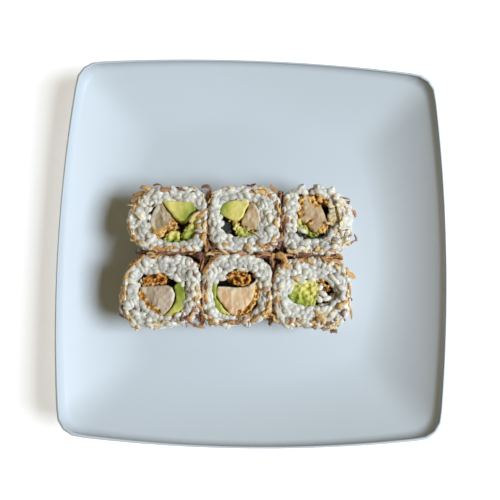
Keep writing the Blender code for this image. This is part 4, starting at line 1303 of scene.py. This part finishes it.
def light_scene():
    """One soft window and the room round it."""
    world = bpy.data.worlds.new("room")
    bpy.context.scene.world = world
    world.use_nodes = True
    sky = world.node_tree.nodes["Background"]
    sky.inputs["Color"].default_value = ROOM_COLOUR
    sky.inputs["Strength"].default_value = ROOM_STRENGTH
    bpy.ops.object.light_add(type="AREA", location=WINDOW_AT)
    window = bpy.context.object
    window.name = "window"
    window.data.shape = "RECTANGLE"
    window.data.size, window.data.size_y = WINDOW_SIZE
    window.data.energy = WINDOW_POWER
    window.data.color = WINDOW_COLOUR
    window.rotation_euler = (-window.location).to_track_quat("-Z", "Y").to_euler()


def place_camera():
    """Looks down from almost straight above, as the photograph does."""
    lens = bpy.data.cameras.new("camera")
    camera = bpy.data.objects.new("camera", lens)
    bpy.context.scene.collection.objects.link(camera)
    lens.lens, lens.sensor_width = LENS, SENSOR
    lens.clip_start = 10 * MM
    camera.location = CAMERA_AT
    camera.rotation_euler = [math.radians(turn) for turn in CAMERA_TURN]
    bpy.context.scene.camera = camera
    bpy.context.scene.view_settings.view_transform = "Standard"


# Putting it together

def set_plate():
    plate = make_plate()
    dress(plate, porcelain())
    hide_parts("plate")


def set_rice():
    """Rice and flakes of all six rolls, from a few grains, flakes and crumbs that are copied."""
    finishes = {"rice": cooked_rice(), "flake": fried_flake(), "crumb": mash_and_crumb()}
    grains = [model_grain("grain_straight", 5.4 * MM, 2.5 * MM, 0.0, 0.08),
              model_grain("grain_bent", 5.6 * MM, 2.4 * MM, 0.4 * MM, 0.05),
              model_grain("grain_plump", 4.6 * MM, 2.7 * MM, 0.2 * MM, 0.14)]
    flakes = [model_flake("flake_flat", 0.05, 0.2, 0.75, 0.10),
              model_flake("flake_bowed", 0.13, -0.3, 0.6, 0.22),
              model_flake("flake_hollow", -0.08, 0.25, 0.9, -0.18),
              model_flake("flake_twisted", 0.07, 0.8, 0.7, 0.12)]
    crumbs = [model_crumb("crumb_long", 3.0), model_crumb("crumb_round", 11.0)]
    surfaces = {roll: Surface(roll, hole) for roll, hole in HOLES.items()}
    for seed, roll in enumerate(surfaces, FIRST_SEED):
        make_rice(roll, surfaces, seed, grains, flakes, finishes)
    draw = random.Random(LOOSE_SEED)
    lay_shreds(surfaces, flakes, finishes, draw)
    fill_seams(surfaces, flakes, finishes, draw)
    lay_crumbs(surfaces, crumbs, finishes, draw)
    for model in grains + flakes + crumbs:
        bpy.data.objects.remove(model)


def set_fillings():
    thigh = chicken_meat("chicken_thigh", (0.57, 0.43, 0.24), (0.35, 0.24, 0.13), 0.15)
    leg = chicken_meat("chicken_leg", (0.78, 0.58, 0.34), (0.52, 0.34, 0.18), 0.15)
    breast = chicken_meat("chicken_breast", (0.74, 0.61, 0.46), (0.50, 0.37, 0.26), 0.1)
    tender = chicken_meat("chicken_tender", (0.99, 0.78, 0.50), (0.82, 0.50, 0.26), 0.1)
    meat = {"back_left": thigh, "back_middle": leg, "back_right": leg,
            "front_left": breast, "front_middle": tender}
    for roll in CRUST_SIDES:
        make_chicken(roll, meat[roll])
    green = avocado_flesh()
    for node in GREEN_SIDES:
        make_avocado(node, green)
    crust = fried_crust()
    for node in sorted(frame["nodes"]):
        if node.startswith("crust"):
            make_crust(node, crust)


def dress_nori():
    """The nori keeps its solids, which show their own form between the grains."""
    nori = damp_nori()
    for name, node in frame["nodes"].items():
        if name.startswith("nori"):
            node.data.materials.clear()
            node.data.materials.append(nori)


def main():
    set_plate()
    set_rice()
    dress_nori()
    set_fillings()
    make_floor()
    light_scene()
    place_camera()
    bpy.context.view_layer.update()


main()
